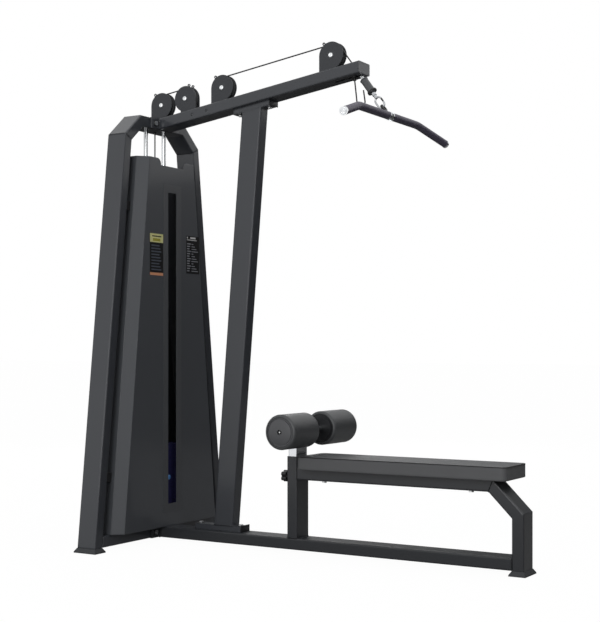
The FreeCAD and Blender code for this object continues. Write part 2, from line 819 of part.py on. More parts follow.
def frame_bolts():
    body = new_body("flange_bolts")
    places = [(f"{side} * {FLANGE_BOLT_OFFSET}", "foot_height + tube_depth / 2") for side in (LEFT, RIGHT)]
    bolts_through(body, "YZ_Plane", places, "tower_station + flange_front", True,
                  "plate_thickness * 2.5", "axle_head_height")
    places = [(f"tower_station + {reach}", "0") for reach in POST_BASE_BOLTS]
    bolts_through(body, "XY_Plane", places, "base_top + post_bar_height", True,
                  "post_bar_height + plate_thickness * 1.5", "axle_head_height")

    places = [(f"{side} * {FLANGE_BOLT_OFFSET}", "tower_height - tube_depth / 2") for side in (LEFT, RIGHT)]
    bolts_through(body, "YZ_Plane", places, "tower_station + flange_front", True,
                  "plate_thickness * 2.5", "axle_head_height")

    body = new_body("post_bolts")
    middle = post_top_reach()
    bolts_through(body, "XY_Plane", post_top_places(), "-post_bar_height", False,
                  "post_bar_height + plate_thickness * 1.5", "axle_head_height")
    place(body, f"tower_station + {middle}", "0", beam_under(middle), "-beam_slope")


# ---------------------------------------------------------------- pulleys and cable

PULLEYS = {
    # name: reach of the centre, height of its foot's surface, slope under it, straight side, ear angle
    "stack_pulley": ("pitch_radius", "tower_height", "0", -1, "front_ear_angle"),
    "rear_pulley": ("rear_pulley_reach", beam_top("rear_pulley_reach"), "beam_slope", 1, "rear_ear_angle"),
    "middle_pulley": ("middle_pulley_reach", beam_top("middle_pulley_reach"), "beam_slope", -1,
                      "front_ear_angle"),
    "front_pulley": ("front_pulley_reach", beam_top("front_pulley_reach"), "beam_slope", -1,
                     "front_ear_angle"),
}


def pulley_bracket(name):
    """Two teardrop plates, welded on at the foot, with an eared tab and a hole for the axle."""
    reach, surface, slope, straight, ear_angle = PULLEYS[name]
    body = new_body(name + "_bracket")
    width = "2 * (bracket_inside + bracket_thickness)"
    disc = sketch(body, "XZ_Plane")
    circle(disc, "0", "0", "bracket_radius")
    pad(body, disc, width)
    edge, foot = f"{straight} * bracket_radius", f"{-straight} * bracket_foot"
    if name == "stack_pulley":
        foot = "plate_thickness"
    skirt = sketch(body, "XZ_Plane")
    polygon(skirt, [(edge, "0"), (edge, f"-pulley_rise + {edge} * tan({slope})"),
                    (foot, f"-pulley_rise + ({foot}) * tan({slope})"), (foot, "0")])
    pad(body, skirt, width)
    ear = sketch(body, "XZ_Plane")
    ear_x, ear_y = f"ear_reach * cos({ear_angle})", f"ear_reach * sin({ear_angle})"
    circle(ear, ear_x, ear_y, "ear_radius")
    pad(body, ear, width)
    gap = sketch(body, "XZ_Plane")
    limit = "(2 * bracket_radius)"
    box_outline(gap, f"-{limit}", f"-{limit}", limit, limit)
    pocket(body, gap, "2 * bracket_inside")
    holes = sketch(body, "XZ_Plane")
    circle(holes, "0", "0", "axle_radius + bolt_clearance")
    circle(holes, ear_x, ear_y, "ear_hole_radius")
    pocket(body, holes, f"2 * {width}")
    place(body, f"tower_station + {reach}", "0", f"{surface} + pulley_rise")


def pulley_wheel(name):
    """Grooved wheel with a thin web, running on its axle."""
    reach, surface = PULLEYS[name][:2]
    body = new_body(name)
    rim, bore = "pitch_radius + wheel_rim", "axle_radius + running_clearance"
    corners = [(bore, "-wheel_half_width"), ("wheel_hub_radius", "-wheel_half_width"),
               ("wheel_hub_radius", "-wheel_web / 2"), ("groove_radius - wheel_web", "-wheel_web / 2"),
               ("groove_radius - wheel_web", "-wheel_half_width"), (rim, "-wheel_half_width"),
               (rim, "-wheel_groove"), ("groove_radius", "-groove_floor"),
               ("groove_radius", "groove_floor"), (rim, "wheel_groove"), (rim, "wheel_half_width"),
               ("groove_radius - wheel_web", "wheel_half_width"),
               ("groove_radius - wheel_web", "wheel_web / 2"),
               ("wheel_hub_radius", "wheel_web / 2"), ("wheel_hub_radius", "wheel_half_width"),
               (bore, "wheel_half_width")]
    revolve(body, corners)
    place(body, f"tower_station + {reach}", "0", f"{surface} + pulley_rise")


def pulley_axles():
    body = new_body("pulley_axles")
    outside = "(bracket_inside + bracket_thickness)"
    shank = sketch(body, "XZ_Plane")
    places = [(f"tower_station + {reach}", f"{surface} + pulley_rise")
              for reach, surface, _, _, _ in PULLEYS.values()]
    for x, z in places:
        circle(shank, x, z, "axle_radius")
    pad(body, shank, f"2 * {outside}")
    for side in (LEFT, RIGHT):
        head = sketch(body, "XZ_Plane", f"{side} * {outside}")
        for x, z in places:
            circle(head, x, z, "axle_head_radius")
        pad(body, head, "axle_head_height", symmetric=False, backwards=side == RIGHT)
    item = sketch(body, "XZ_Plane")
    for reach in GUIDE_REACHES:
        circle(item, f"tower_station + {reach}", f"{beam_under(reach)} + guide_height", "knob_stud_radius")
    pad(body, item, "tube_width")


def guide_wheel(label, reach):
    """Small grooved roller that turns the cable along inside the beam."""
    body = new_body(label)
    rim, bore = "guide_pitch_radius + guide_flange", "knob_stud_radius + running_clearance"
    corners = [(bore, "-guide_half_width"), (rim, "-guide_half_width"), (rim, "-wheel_groove"),
               ("guide_groove_radius", "-groove_floor"), ("guide_groove_radius", "groove_floor"),
               (rim, "wheel_groove"), (rim, "guide_half_width"), (bore, "guide_half_width")]
    revolve(body, corners)
    place(body, f"tower_station + {reach}", "0", f"{beam_under(reach)} + guide_height")


def tangent_points(first, second):
    """Ends of the straight run between two wheels, each (x, z, radius, turn).

    The turn is 1 where the cable goes clockwise round the wheel, seen with X to the right and Z up,
    and -1 where it goes the other way.
    """
    x1, z1, r1, turn1 = first
    x2, z2, r2, turn2 = second
    dx, dz = x2 - x1, z2 - z1
    length = math.hypot(dx, dz)
    lean = math.atan2(dz, dx) - math.asin((r1 * turn1 - r2 * turn2) / length)
    normal = (-math.sin(lean), math.cos(lean))
    start = (x1 + normal[0] * r1 * turn1, z1 + normal[1] * r1 * turn1)
    end = (x2 + normal[0] * r2 * turn2, z2 + normal[1] * r2 * turn2)
    return start, end


def cable_route():
    """Straight runs of the cable from the weight stack over every wheel to the pull bar."""
    station = value("tower_station")
    wheels = [(station, value("stud_top"), 0.0, 1)]
    order = [("stack_pulley", 1), ("rear_pulley", 1), ("rear_guide", -1), ("front_guide", -1),
             ("middle_pulley", 1), ("front_pulley", 1)]
    for name, turn in order:
        if name in PULLEYS:
            reach, surface = PULLEYS[name][:2]
            wheels.append((station + value(reach), value(f"{surface} + pulley_rise"),
                           value("pitch_radius"), turn))
        else:
            reach = GUIDE_REACHES[0 if name == "rear_guide" else 1]
            wheels.append((station + value(reach), value(f"{beam_under(reach)} + guide_height"),
                           value("guide_pitch_radius"), turn))
    wheels.append((station + value("bar_reach"), value(BAR_HEIGHT), 0.0, 1))
    return wheels, [tangent_points(first, second) for first, second in zip(wheels, wheels[1:])]


def at(point):
    return FreeCAD.Vector(point[0], 0, point[1])


def rope(label, wire, start, along):
    """A round cable swept along a wire in the machine's middle plane."""
    section = Part.Wire([Part.makeCircle(value("cable_radius"), start, along)])
    item = doc.addObject("Part::Feature", label)
    item.Label = label
    item.Shape = wire.makePipeShell([section], True, False)
    return item


def cables():
    """The standing run over the wheels, and the two runs whose length changes as the bar is pulled."""
    wheels, runs = cable_route()
    top_of_stack, (first_touch, last_leave) = value("stud_top"), (runs[0][1], runs[-1][0])
    edges = []
    for step in range(1, len(wheels) - 1):
        x, z, radius, turn = wheels[step]
        arrive, leave = runs[step - 1][1], runs[step][0]
        angle_in = math.atan2(arrive[1] - z, arrive[0] - x)
        angle_out = math.atan2(leave[1] - z, leave[0] - x)
        swept = (angle_in - angle_out) * turn % (2 * math.pi)
        half = angle_in - turn * swept / 2
        middle = (x + radius * math.cos(half), z + radius * math.sin(half))
        edges.append(Part.Arc(at(arrive), at(middle), at(leave)).toShape())
        if step < len(wheels) - 2:
            edges.append(Part.LineSegment(at(leave), at(runs[step][1])).toShape())
    rope("main_cable", Part.Wire(edges), at(first_touch), Z)
    lift = Part.LineSegment(FreeCAD.Vector(wheels[0][0], 0, top_of_stack), at(first_touch)).toShape()
    rope("stack_cable", Part.Wire([lift]), FreeCAD.Vector(wheels[0][0], 0, top_of_stack), Z)
    lean = math.radians(value("cable_lean"))
    up = FreeCAD.Vector(-math.sin(lean), 0, math.cos(lean))
    ferrule_top = value("stop_bottom + stop_length + ferrule_length")
    lower = FreeCAD.Vector(wheels[-1][0], 0, wheels[-1][1]) + up * ferrule_top
    pull = Part.LineSegment(lower, at(last_leave)).toShape()
    rope("bar_cable", Part.Wire([pull]), lower, up)


# ---------------------------------------------------------------- weight stack

def guide_rods():
    body = new_body("guide_rods")
    item = sketch(body, "XY_Plane", "base_top")
    for side in (LEFT, RIGHT):
        circle(item, "tower_station", f"{side} * rod_offset", "rod_radius")
    pad(body, item, "beam_rear_under - base_top", symmetric=False)
    bumpers = new_body("stack_bumpers")
    item = sketch(bumpers, "XY_Plane", "base_top")
    for side in (LEFT, RIGHT):
        circle(item, "tower_station", f"{side} * rod_offset", "bumper_radius")
        circle(item, "tower_station", f"{side} * rod_offset", "rod_radius + bolt_clearance")
    pad(bumpers, item, "bumper_height", symmetric=False)


def plate_outline(body, bottom):
    """Outline of one weight plate with its three holes."""
    item = sketch(body, "XY_Plane", bottom)
    box_outline(item, "tower_station - plate_depth / 2", "-plate_length / 2",
                "tower_station + plate_depth / 2", "plate_length / 2")
    for side in (LEFT, RIGHT):
        circle(item, "tower_station", f"{side} * rod_offset", "rod_hole_radius")
    circle(item, "tower_station", "0", "selector_hole_radius")
    return item


def weight_plates(label, bottom, count):
    """A pile of alike plates, each with a hole in its front edge for the selector pin."""
    body = new_body(label)
    slab = pad(body, plate_outline(body, bottom), "plate_pitch - plate_gap", symmetric=False)
    rounded = round_edges(body, slab, straight_edges(slab.Shape, [Z]), "plate_corner")
    hole = sketch(body, "YZ_Plane", "tower_station")
    circle(hole, "0", f"{bottom} + (plate_pitch - plate_gap) / 2", "pin_radius + pin_clearance")
    drilled = pocket(body, hole, "plate_depth", symmetric=False, backwards=True)
    repeat = body.newObject("PartDesign::LinearPattern", label + "_pile")
    repeat.Originals = [slab, rounded, drilled]
    repeat.Direction = (sketch_axis(body), ["N_Axis"])
    bind(repeat, "Length", f"({count} - 1) * plate_pitch")
    bind(repeat, "Occurrences", count)
    body.Tip = repeat
    doc.recompute()


def sketch_axis(body):
    return [item for item in body.Group if item.TypeId == "Sketcher::SketchObject"][0]


def stack_head():
    """Top plate with its bushings, the drilled selector rod and the stud that the cable ends in."""
    body = new_body("top_plate")
    item = sketch(body, "XY_Plane", "top_plate_bottom")
    box_outline(item, "tower_station - plate_depth / 2", "-plate_length / 2",
                "tower_station + plate_depth / 2", "plate_length / 2")
    for side in (LEFT, RIGHT):
        circle(item, "tower_station", f"{side} * rod_offset", "bushing_radius")
    circle(item, "tower_station", "0", "selector_rod_radius")
    slab = pad(body, item, "plate_pitch", symmetric=False)
    round_edges(body, slab, straight_edges(slab.Shape, [Z]), "plate_corner")

    bushings = new_body("plate_bushings")
    for low, high, radius in (("top_plate_bottom", "plate_pitch + bushing_rise", "bushing_radius"),
                              ("stack_top", "bushing_rise / 2", "bushing_flange")):
        item = sketch(bushings, "XY_Plane", low)
        for side in (LEFT, RIGHT):
            circle(item, "tower_station", f"{side} * rod_offset", radius)
            circle(item, "tower_station", f"{side} * rod_offset", "rod_radius + running_clearance")
        pad(bushings, item, high, symmetric=False)

    rod = new_body("selector_rod")
    item = sketch(rod, "XY_Plane", "stack_bottom")
    circle(item, "tower_station", "0", "selector_rod_radius")
    shank = pad(rod, item, "stack_top - stack_bottom", symmetric=False)
    hole = sketch(rod, "YZ_Plane", "tower_station")
    circle(hole, "0", "stack_bottom + (plate_pitch - plate_gap) / 2", "pin_radius + pin_clearance")
    drilled = pocket(rod, hole, "plate_depth")
    repeat = rod.newObject("PartDesign::LinearPattern", "selector_rod_holes")
    repeat.Originals = [drilled]
    repeat.Direction = (sketch_axis(rod), ["N_Axis"])
    bind(repeat, "Length", "(resting_plates + lifted_plates - 1) * plate_pitch")
    bind(repeat, "Occurrences", "resting_plates + lifted_plates")
    rod.Tip = repeat
    doc.recompute()

    stud = new_body("cable_stud")
    item = sketch(stud, "XY_Plane", "stack_top")
    circle(item, "tower_station", "0", "stud_radius")
    pad(stud, item, "stud_height", symmetric=False)
    for low in ("stack_top", "stack_top + stud_height / 3"):
        item = sketch(stud, "XY_Plane", low)
        hexagon(item, "tower_station", "0", "stack_nut / 2")
        pad(stud, item, "stud_radius", symmetric=False)


def selector_pin():
    """Locking pin: a round shank through the plate and the selector rod, and a turned handle."""
    body = new_body("selector_pin")
    grip = "(plate_depth / 2 + 2)"
    handle = "pin_handle_radius"
    revolve(body, [("0", "-selector_rod_radius"), ("pin_radius - 1", "-selector_rod_radius"),
                   ("pin_radius", "-selector_rod_radius + 2"), ("pin_radius", grip),
                   (f"{handle} - 2", grip), (handle, f"{grip} + 2"),
                   (f"{handle} - 3", f"{grip} + pin_handle_length / 2"),
                   (handle, f"{grip} + pin_handle_length - 2"),
                   (f"{handle} - 2", f"{grip} + pin_handle_length"), ("0", f"{grip} + pin_handle_length")])
    body.Placement.Rotation = FreeCAD.Rotation(FreeCAD.Vector(0, 0, 1), -90)
    place(body, "tower_station", "0", "pin_height")


# ---------------------------------------------------------------- covers

def cover_face(height, inset="0"):
    return f"(cover_foot_reach - (({height}) - base_top) * tan(cover_lean) - ({inset}))"


def cover(label, side):
    """Folded sheet cover, open at the back, top and bottom; side is 1 for the front, -1 for the rear."""
    body = new_body(label)
    item = sketch(body, "YZ_Plane", f"tower_station + {side} * cover_seam")
    polygon(item, [("-cover_foot_reach", "base_top"), ("cover_foot_reach", "base_top"),
                   ("cover_top_reach", "cover_top"), ("-cover_top_reach", "cover_top")])
    solid = pad(body, item, "cover_depth - cover_seam", symmetric=False, backwards=side < 0)
    lean = math.radians(value("cover_lean"))
    slants = [direction(0, math.sin(lean), math.cos(lean)), direction(0, -math.sin(lean), math.cos(lean))]
    face = value(f"tower_station + {side} * cover_depth")
    names = [name for name in straight_edges(solid.Shape, slants)
             if abs(solid.Shape.getElement(name).CenterOfMass.x - face) < 1]
    bevelled = bevel_edges(body, solid, names, "cover_chamfer")
    ends = []
    for end in (Z, -Z, X * -side):
        ends += faces_towards(bevelled.Shape, end, 0.99)
    hollow(body, bevelled, ends, "cover_sheet")
    front = f"tower_station + {side} * cover_depth"
    notch = sketch(body, "YZ_Plane", front)
    box_outline(notch, "-notch_reach", "cover_top - notch_depth", "notch_reach", "cover_top + 1")
    cut = pocket(body, notch, "cover_sheet * 4")
    rim = [name for name in straight_edges(cut.Shape, [X])
           if abs(abs(cut.Shape.getElement(name).CenterOfMass.y) - value("notch_reach")) < 1
           and abs(cut.Shape.getElement(name).CenterOfMass.z - value("cover_top")) < 1]
    round_edges(body, cut, rim, "notch_round")
    if side > 0:
        window = sketch(body, "YZ_Plane", front)
        box_outline(window, "-window_reach", "window_bottom", "window_reach", "window_top")
        pocket(body, window, "cover_sheet * 4")


def cover_trim():
    body = new_body("slot_bezel")
    item = sketch(body, "YZ_Plane", "tower_station + cover_depth")
    box_outline(item, "-window_reach - bezel_border", "window_bottom - bezel_border",
                "window_reach + bezel_border", "window_top + bezel_border")
    box_outline(item, "-window_reach", "window_bottom", "window_reach", "window_top")
    pad(body, item, "bezel_thickness", symmetric=False)

    labels = new_body("label_plates")
    item = sketch(labels, "YZ_Plane", "tower_station + cover_depth")
    box_outline(item, "-label_inner_reach - label_width", "label_bottom",
                "-label_inner_reach - bezel_border / 6", "label_bottom + label_height")
    box_outline(item, "notice_inner_reach", "notice_bottom", "notice_inner_reach + label_width",
                "notice_bottom + notice_height")
    pad(labels, item, "label_thickness", symmetric=False)

    brackets = new_body("cover_brackets")
    item = sketch(brackets, "YZ_Plane", "tower_station")
    for height in ("lower_bracket_height", "upper_bracket_height"):
        for side in (LEFT, RIGHT):
            top = f"{height} + bracket_height"
            polygon(item, [(f"{side} * {leg_face(height, 'leg_breadth')}", height),
                           (f"{side} * {leg_face(top, 'leg_breadth')}", top),
                           (f"{side} * {cover_face(top)}", top),
                           (f"{side} * {cover_face(height)}", height)])
    pad(brackets, item, "bracket_width")


# ---------------------------------------------------------------- bench

def bench():
    front, rear = "tower_station + bench_front_reach", "tower_station + bench_rear_reach"
    half = "tube_depth / 2"
    leg = tube("bench_front_leg", "XZ_Plane",
               [(f"{front} - {half}", "base_top"), (f"{front} + {half}", "base_top"),
                (f"{front} + {half}", "front_leg_top"), (f"{front} - {half}", "front_leg_top")],
               "tube_width", [Z], [Z, -Z])
    boss = sketch(leg, "YZ_Plane", f"{front} - {half}")
    circle(boss, "0", "knob_height", "boss_radius")
    pad(leg, boss, "boss_length", symmetric=False, backwards=True)
    bore = sketch(leg, "YZ_Plane", f"{front} - {half}")
    circle(bore, "0", "knob_height", "knob_stud_radius + running_clearance")
    pocket(leg, bore, "boss_length * 4")

    # The rail ends where the mitre of the 45 degree elbow starts.
    turn = "(tube_depth * tan(22.5))"
    rail_end = "(tower_station + bench_rear_face - bench_elbow)"
    outer = f"({rail_end} + {turn})"
    corners = [(f"{front} + {half}", "seat_rail_bottom"), (rail_end, "seat_rail_bottom"),
               (outer, "seat_rail_top"), (f"{front} + {half}", "seat_rail_top")]
    tube("seat_rail", "XZ_Plane", corners, "tube_width", [X], [-X, direction(1, 0, -0.41)])

    inner_x, outer_x = "(tower_station + bench_rear_face)", "(tower_station + bench_rear_face + tube_depth)"
    inner_z = "(seat_rail_bottom - bench_elbow)"
    outer_z = f"({inner_z} + {turn})"
    corners = [(rail_end, "seat_rail_bottom"), (inner_x, inner_z), (inner_x, "foot_height"),
               (outer_x, "foot_height"), (outer_x, outer_z), (outer, "seat_rail_top")]
    body = new_body("bench_rear_leg")
    item = sketch(body, "XZ_Plane")
    polygon(item, corners)
    solid = pad(body, item, "tube_width")
    round_edges(body, solid, straight_edges(solid.Shape, [Z, direction(1, 0, -1)]), "tube_corner")
    trim = "tube_wall * tan(22.5)"
    inside = sketch(body, "XZ_Plane")
    polygon(inside, [(f"{rail_end} + {trim}", "seat_rail_bottom + tube_wall"),
                     (f"{inner_x} + tube_wall", f"{inner_z} + {trim}"),
                     (f"{inner_x} + tube_wall", "foot_height"), (f"{outer_x} - tube_wall", "foot_height"),
                     (f"{outer_x} - tube_wall", f"{outer_z} - {trim}"),
                     (f"{outer} - {trim}", "seat_rail_top - tube_wall")])
    pocket(body, inside, "tube_width - 2 * tube_wall")


def seat():
    board = new_body("seat_board")
    item = sketch(board, "XY_Plane", "seat_rail_top")
    inset = "seat_board_inset"
    box_outline(item, f"tower_station + seat_front_reach + {inset}", f"-seat_half_width + {inset}",
                f"tower_station + seat_rear_reach - {inset}", f"seat_half_width - {inset}")
    slab = pad(board, item, "seat_board_height", symmetric=False)
    round_edges(board, slab, straight_edges(slab.Shape, [Z]), "seat_corner / 2")

    cushion = new_body("seat_pad")
    item = sketch(cushion, "XY_Plane", "seat_rail_top + soft_clearance")
    box_outline(item, "tower_station + seat_front_reach", "-seat_half_width",
                "tower_station + seat_rear_reach", "seat_half_width")
    slab = pad(cushion, item, "seat_top - seat_rail_top - soft_clearance", symmetric=False)
    rounded = round_edges(cushion, slab, straight_edges(slab.Shape, [Z]), "seat_corner")
    top = rounded.Shape.getElement(faces_towards(rounded.Shape, Z)[0])
    names = [f"Edge{number}" for number, edge in enumerate(rounded.Shape.Edges, start=1)
             if any(edge.isSame(other) for other in top.Edges)]
    round_edges(cushion, rounded, names, "seat_edge")
    item = sketch(cushion, "XY_Plane", "seat_rail_top")
    gap = "(seat_board_inset - soft_clearance)"
    box_outline(item, f"tower_station + seat_front_reach + {gap}", f"-seat_half_width + {gap}",
                f"tower_station + seat_rear_reach - {gap}", f"seat_half_width - {gap}")
    pocket(cushion, item, "seat_board_height + soft_clearance", symmetric=False, backwards=True)

    bolts = new_body("seat_bolts")
    places = [(f"tower_station + {reach}", f"{side} * seat_bolt_offset")
              for reach in SEAT_BOLT_REACHES for side in (LEFT, RIGHT)]
    bolts_through(bolts, "XY_Plane", places, "seat_rail_bottom", False,
                  "tube_depth + seat_board_height / 2", "axle_head_height")
    for label in ("seat_rail", "seat_board"):
        body = doc.getObject(label)
        holes = sketch(body, "XY_Plane", "seat_rail_bottom")
        for x, y in places:
            circle(holes, x, y, "axle_radius + bolt_clearance")
        pocket(body, holes, "2 * (tube_depth + seat_board_height / 2)")


SEAT_BOLT_REACHES = ("(seat_front_reach + seat_bolt_inset)", "(seat_rear_reach - 2 * seat_bolt_inset)")


# ---------------------------------------------------------------- thigh rollers

def thigh_slider():
    """Chrome upright that slides in the front leg, with an arm and a cross shaft for the rollers."""
    body = new_body("thigh_slider")
    front = "tower_station + bench_front_reach"
    top = "(roller_axis_height + slider_shoulder)"
    item = sketch(body, "XZ_Plane")
    box_outline(item, f"{front} - slider_depth / 2", "slider_bottom", f"{front} + slider_depth / 2", top)
    solid = pad(body, item, "slider_width")
    rounded = round_edges(body, solid, straight_edges(solid.Shape, [Z]), "tube_wall + 1")
    hollow(body, rounded, faces_towards(rounded.Shape, -Z), "tube_wall")
    axis = "tower_station + roller_axis_reach"
    arm = sketch(body, "XZ_Plane")
    box_outline(arm, f"{front} + slider_depth / 2", "roller_axis_height - slider_shoulder", axis,
                "roller_axis_height + slider_shoulder")
    pad(body, arm, "arm_width")
    nose = sketch(body, "XZ_Plane")
    circle(nose, axis, "roller_axis_height", "slider_shoulder")
    pad(body, nose, "arm_width")
    shaft = sketch(body, "XZ_Plane")
    circle(shaft, axis, "roller_axis_height", "shaft_radius")
    pad(body, shaft, "2 * roller_outer_end")

    bolts = new_body("roller_bolts")
    for side in (LEFT, RIGHT):
        head = sketch(bolts, "XZ_Plane", f"{side} * roller_outer_end")
        circle(head, axis, "roller_axis_height", "axle_head_radius * 0.8")
        pad(bolts, head, "axle_head_height / 2", symmetric=False, backwards=side == RIGHT)


def roller(name, side):
    """Foam roller on its sleeve, with a plastic cap let into each end."""
    foam = new_body(name)
    bore = "(shaft_radius + running_clearance)"
    inner, outer = "roller_inner_end", "roller_outer_end"
    corners = [(bore, f"{inner} + roller_cap_depth"), ("roller_cap_radius", f"{inner} + roller_cap_depth"),
               ("roller_cap_radius", inner), ("roller_radius - roller_corner", inner),
               ("roller_radius - roller_corner * 0.29", f"{inner} + roller_corner * 0.29"),
               ("roller_radius", f"{inner} + roller_corner"), ("roller_radius", f"{outer} - roller_corner"),
               ("roller_radius - roller_corner * 0.29", f"{outer} - roller_corner * 0.29"),
               ("roller_radius - roller_corner", outer), ("roller_cap_radius", outer),
               ("roller_cap_radius", f"{outer} - roller_cap_depth"), (bore, f"{outer} - roller_cap_depth")]
    revolve(foam, [(radius, f"{side} * ({along})") for radius, along in corners])
    place(foam, "tower_station + roller_axis_reach", "0", "roller_axis_height")

    caps = new_body(name + "_caps")
    for low, high in ((inner, f"{inner} + roller_cap_depth"), (f"{outer} - roller_cap_depth", outer)):
        item = sketch(caps, "XZ_Plane", f"{side} * ({low} + roller_cap_depth / 2)")
        circle(item, "0", "0", "roller_cap_radius")
        circle(item, "0", "0", bore)
        pad(caps, item, "roller_cap_depth")
    place(caps, "tower_station + roller_axis_reach", "0", "roller_axis_height")


def height_knob():
    """Clamp knob: its stud runs in the boss behind the front leg and bears on the slider."""
    body = new_body("height_knob")
    face = "(tube_depth / 2 + boss_length + bolt_clearance)"
    tip = "(slider_depth / 2 + soft_clearance)"
    stud = sketch(body, "YZ_Plane", f"-{tip}")
    circle(stud, "0", "0", "knob_stud_radius")
    pad(body, stud, f"{face} - {tip} + knob_length / 2", symmetric=False, backwards=True)
    knob = sketch(body, "YZ_Plane", f"-{face}")
    circle(knob, "0", "0", "knob_radius * 0.6")
    for lobe in range(5):
        outline = sketch(body, "YZ_Plane", f"-{face} - knob_length / 3")
        circle(outline, f"knob_radius * 0.62 * cos({72 * lobe})", f"knob_radius * 0.62 * sin({72 * lobe})",
               "knob_radius * 0.38")
        pad(body, outline, "knob_length * 2 / 3", symmetric=False, backwards=True)
    pad(body, knob, "knob_length", symmetric=False, backwards=True)
    place(body, "tower_station + bench_front_reach", "0", "knob_height")


# ---------------------------------------------------------------- pull bar

BAR_HEIGHT = (f"({beam_top('front_pulley_reach')} + pulley_rise + pitch_radius * sin(cable_lean)"
              " - bar_drop * cos(cable_lean))")


def sweep(label, wire_sketch, radius, start, along):
    """A round bar swept along a sketch's line."""
    section = doc.addObject("Part::Circle", label + "_section")
    bind(section, "Radius", radius)
    section.Placement = FreeCAD.Placement(start, FreeCAD.Rotation(Z, along))
    item = doc.addObject("Part::Sweep", label)
    item.Sections = [section]
    item.Spine = (wire_sketch, [f"Edge{number + 1}" for number in range(wire_sketch.GeometryCount)])
    item.Solid = True
    item.Frenet = False
    doc.recompute()
    return item


def bar_line(label, start, end):
    """Middle line of one half of the bar, from a reach along it to another, round its bend."""
    item = doc.addObject("Sketcher::SketchObject", label)
    item.Placement = FreeCAD.Placement(FreeCAD.Vector(), FreeCAD.Rotation(Y, Z, X, "ZXY"))
    bend = math.radians(value("bar_end_lean"))
    radius, corner = value("bar_bend_radius"), value("bar_bend")
    trim = radius * math.tan(bend / 2)
    cosine, sine = math.cos(bend), math.sin(bend)
    before = FreeCAD.Vector(corner - trim, 0, 0)
    after = FreeCAD.Vector(corner + trim * cosine, -trim * sine, 0)
    half = FreeCAD.Vector(corner - trim + radius * math.sin(bend / 2),
                          radius * (math.cos(bend / 2) - 1), 0)
    last = FreeCAD.Vector(end, -(end - corner) * math.tan(bend), 0)
    item.addGeometry(Part.LineSegment(FreeCAD.Vector(start, 0, 0), before), False)
    item.addGeometry(Part.Arc(before, half, after), False)
    item.addGeometry(Part.LineSegment(after, last), False)
    return item


def half_bar(label, start, end, radius):
    line = bar_line(label + "_line", start, end)
    doc.recompute()
    return sweep(label, line, radius, FreeCAD.Vector(0, start, 0), Y)


def mirrored_pair(label, source):
    other = doc.addObject("Part::Mirroring", label + "_other")
    other.Source = source
    other.Normal = Y
    return other


def pull_bar():
    end = value("bar_end_reach - end_cap_length")
    half = half_bar("bar_half", 0, end, "bar_radius")
    shell = half_bar("grip_half", value("grip_inner_end"), end, "grip_radius")
    core = half_bar("grip_core", value("grip_inner_end"), end, "bar_radius")
    tube_item = doc.addObject("Part::MultiFuse", "bar_tube")
    tube_item.Shapes = [half, mirrored_pair("bar_half", half)]
    collar = doc.addObject("Part::Cylinder", "bar_collar")
    bind(collar, "Radius", "bar_radius + 1.5")
    bind(collar, "Height", "2 * ring_inner_end")
    collar.Placement.Rotation = FreeCAD.Rotation(FreeCAD.Vector(1, 0, 0), -90)
    place(collar, "0", "-ring_inner_end", "0")
    lug = bar_lug()
    bar = doc.addObject("Part::MultiFuse", "lat_bar")
    bar.Label = "lat_bar"
    bar.Shapes = [tube_item, collar, lug]
    hang_on_cable(bar)

    grip = doc.addObject("Part::Cut", "grip_right")
    grip.Base = shell
    grip.Tool = core
    grips = group("bar_grips", [grip, mirrored_pair("grip", grip)])
    hang_on_cable(grips)

    rings = new_body("bar_rings")
    for side in (LEFT, RIGHT):
        item = sketch(rings, "XZ_Plane", f"{side} * (ring_inner_end + ring_width / 2)")
        circle(item, "0", "0", "ring_radius")
        circle(item, "0", "0", "bar_radius")
        pad(rings, item, "ring_width")
    cap = doc.addObject("Part::Cylinder", "end_cap")
    bind(cap, "Radius", "end_cap_radius")
    bind(cap, "Height", "end_cap_length")
    cap.Placement.Rotation = FreeCAD.Rotation(-X, 90 + value("bar_end_lean"))
    bind(cap, "Placement.Rotation.Angle", "90 deg + bar_end_lean")
    place(cap, "0", "bar_end_reach - end_cap_length",
          "-(bar_end_reach - end_cap_length - bar_bend) * tan(bar_end_lean)")
    fittings = group("bar_fittings", [rings, cap, mirrored_pair("end_cap", cap)])
    hang_on_cable(fittings)


def bar_lug():
    """Eye plate on the middle of the bar, for the spring hook."""
    plate = doc.addObject("Part::Box", "lug_plate")
    bind(plate, "Length", "lug_thickness")
    bind(plate, "Width", "2 * ring_inner_end")
    bind(plate, "Height", "lug_hole_height")
    place(plate, "-lug_thickness / 2", "-ring_inner_end", "0")
    eye = doc.addObject("Part::Cylinder", "lug_eye")
    bind(eye, "Radius", "lug_radius")
    bind(eye, "Height", "lug_thickness")
    hole = doc.addObject("Part::Cylinder", "lug_hole")
    bind(hole, "Radius", "lug_hole_radius")
    bind(hole, "Height", "lug_thickness * 2")
    for item, start in ((eye, "-lug_thickness / 2"), (hole, "-lug_thickness")):
        item.Placement.Rotation = FreeCAD.Rotation(FreeCAD.Vector(0, 1, 0), 90)
        place(item, start, "0", "lug_hole_height")
    solid = doc.addObject("Part::MultiFuse", "lug_solid")
    solid.Shapes = [plate, eye]
    lug = doc.addObject("Part::Cut", "lug")
    lug.Base = solid
    lug.Tool = hole
    return lug


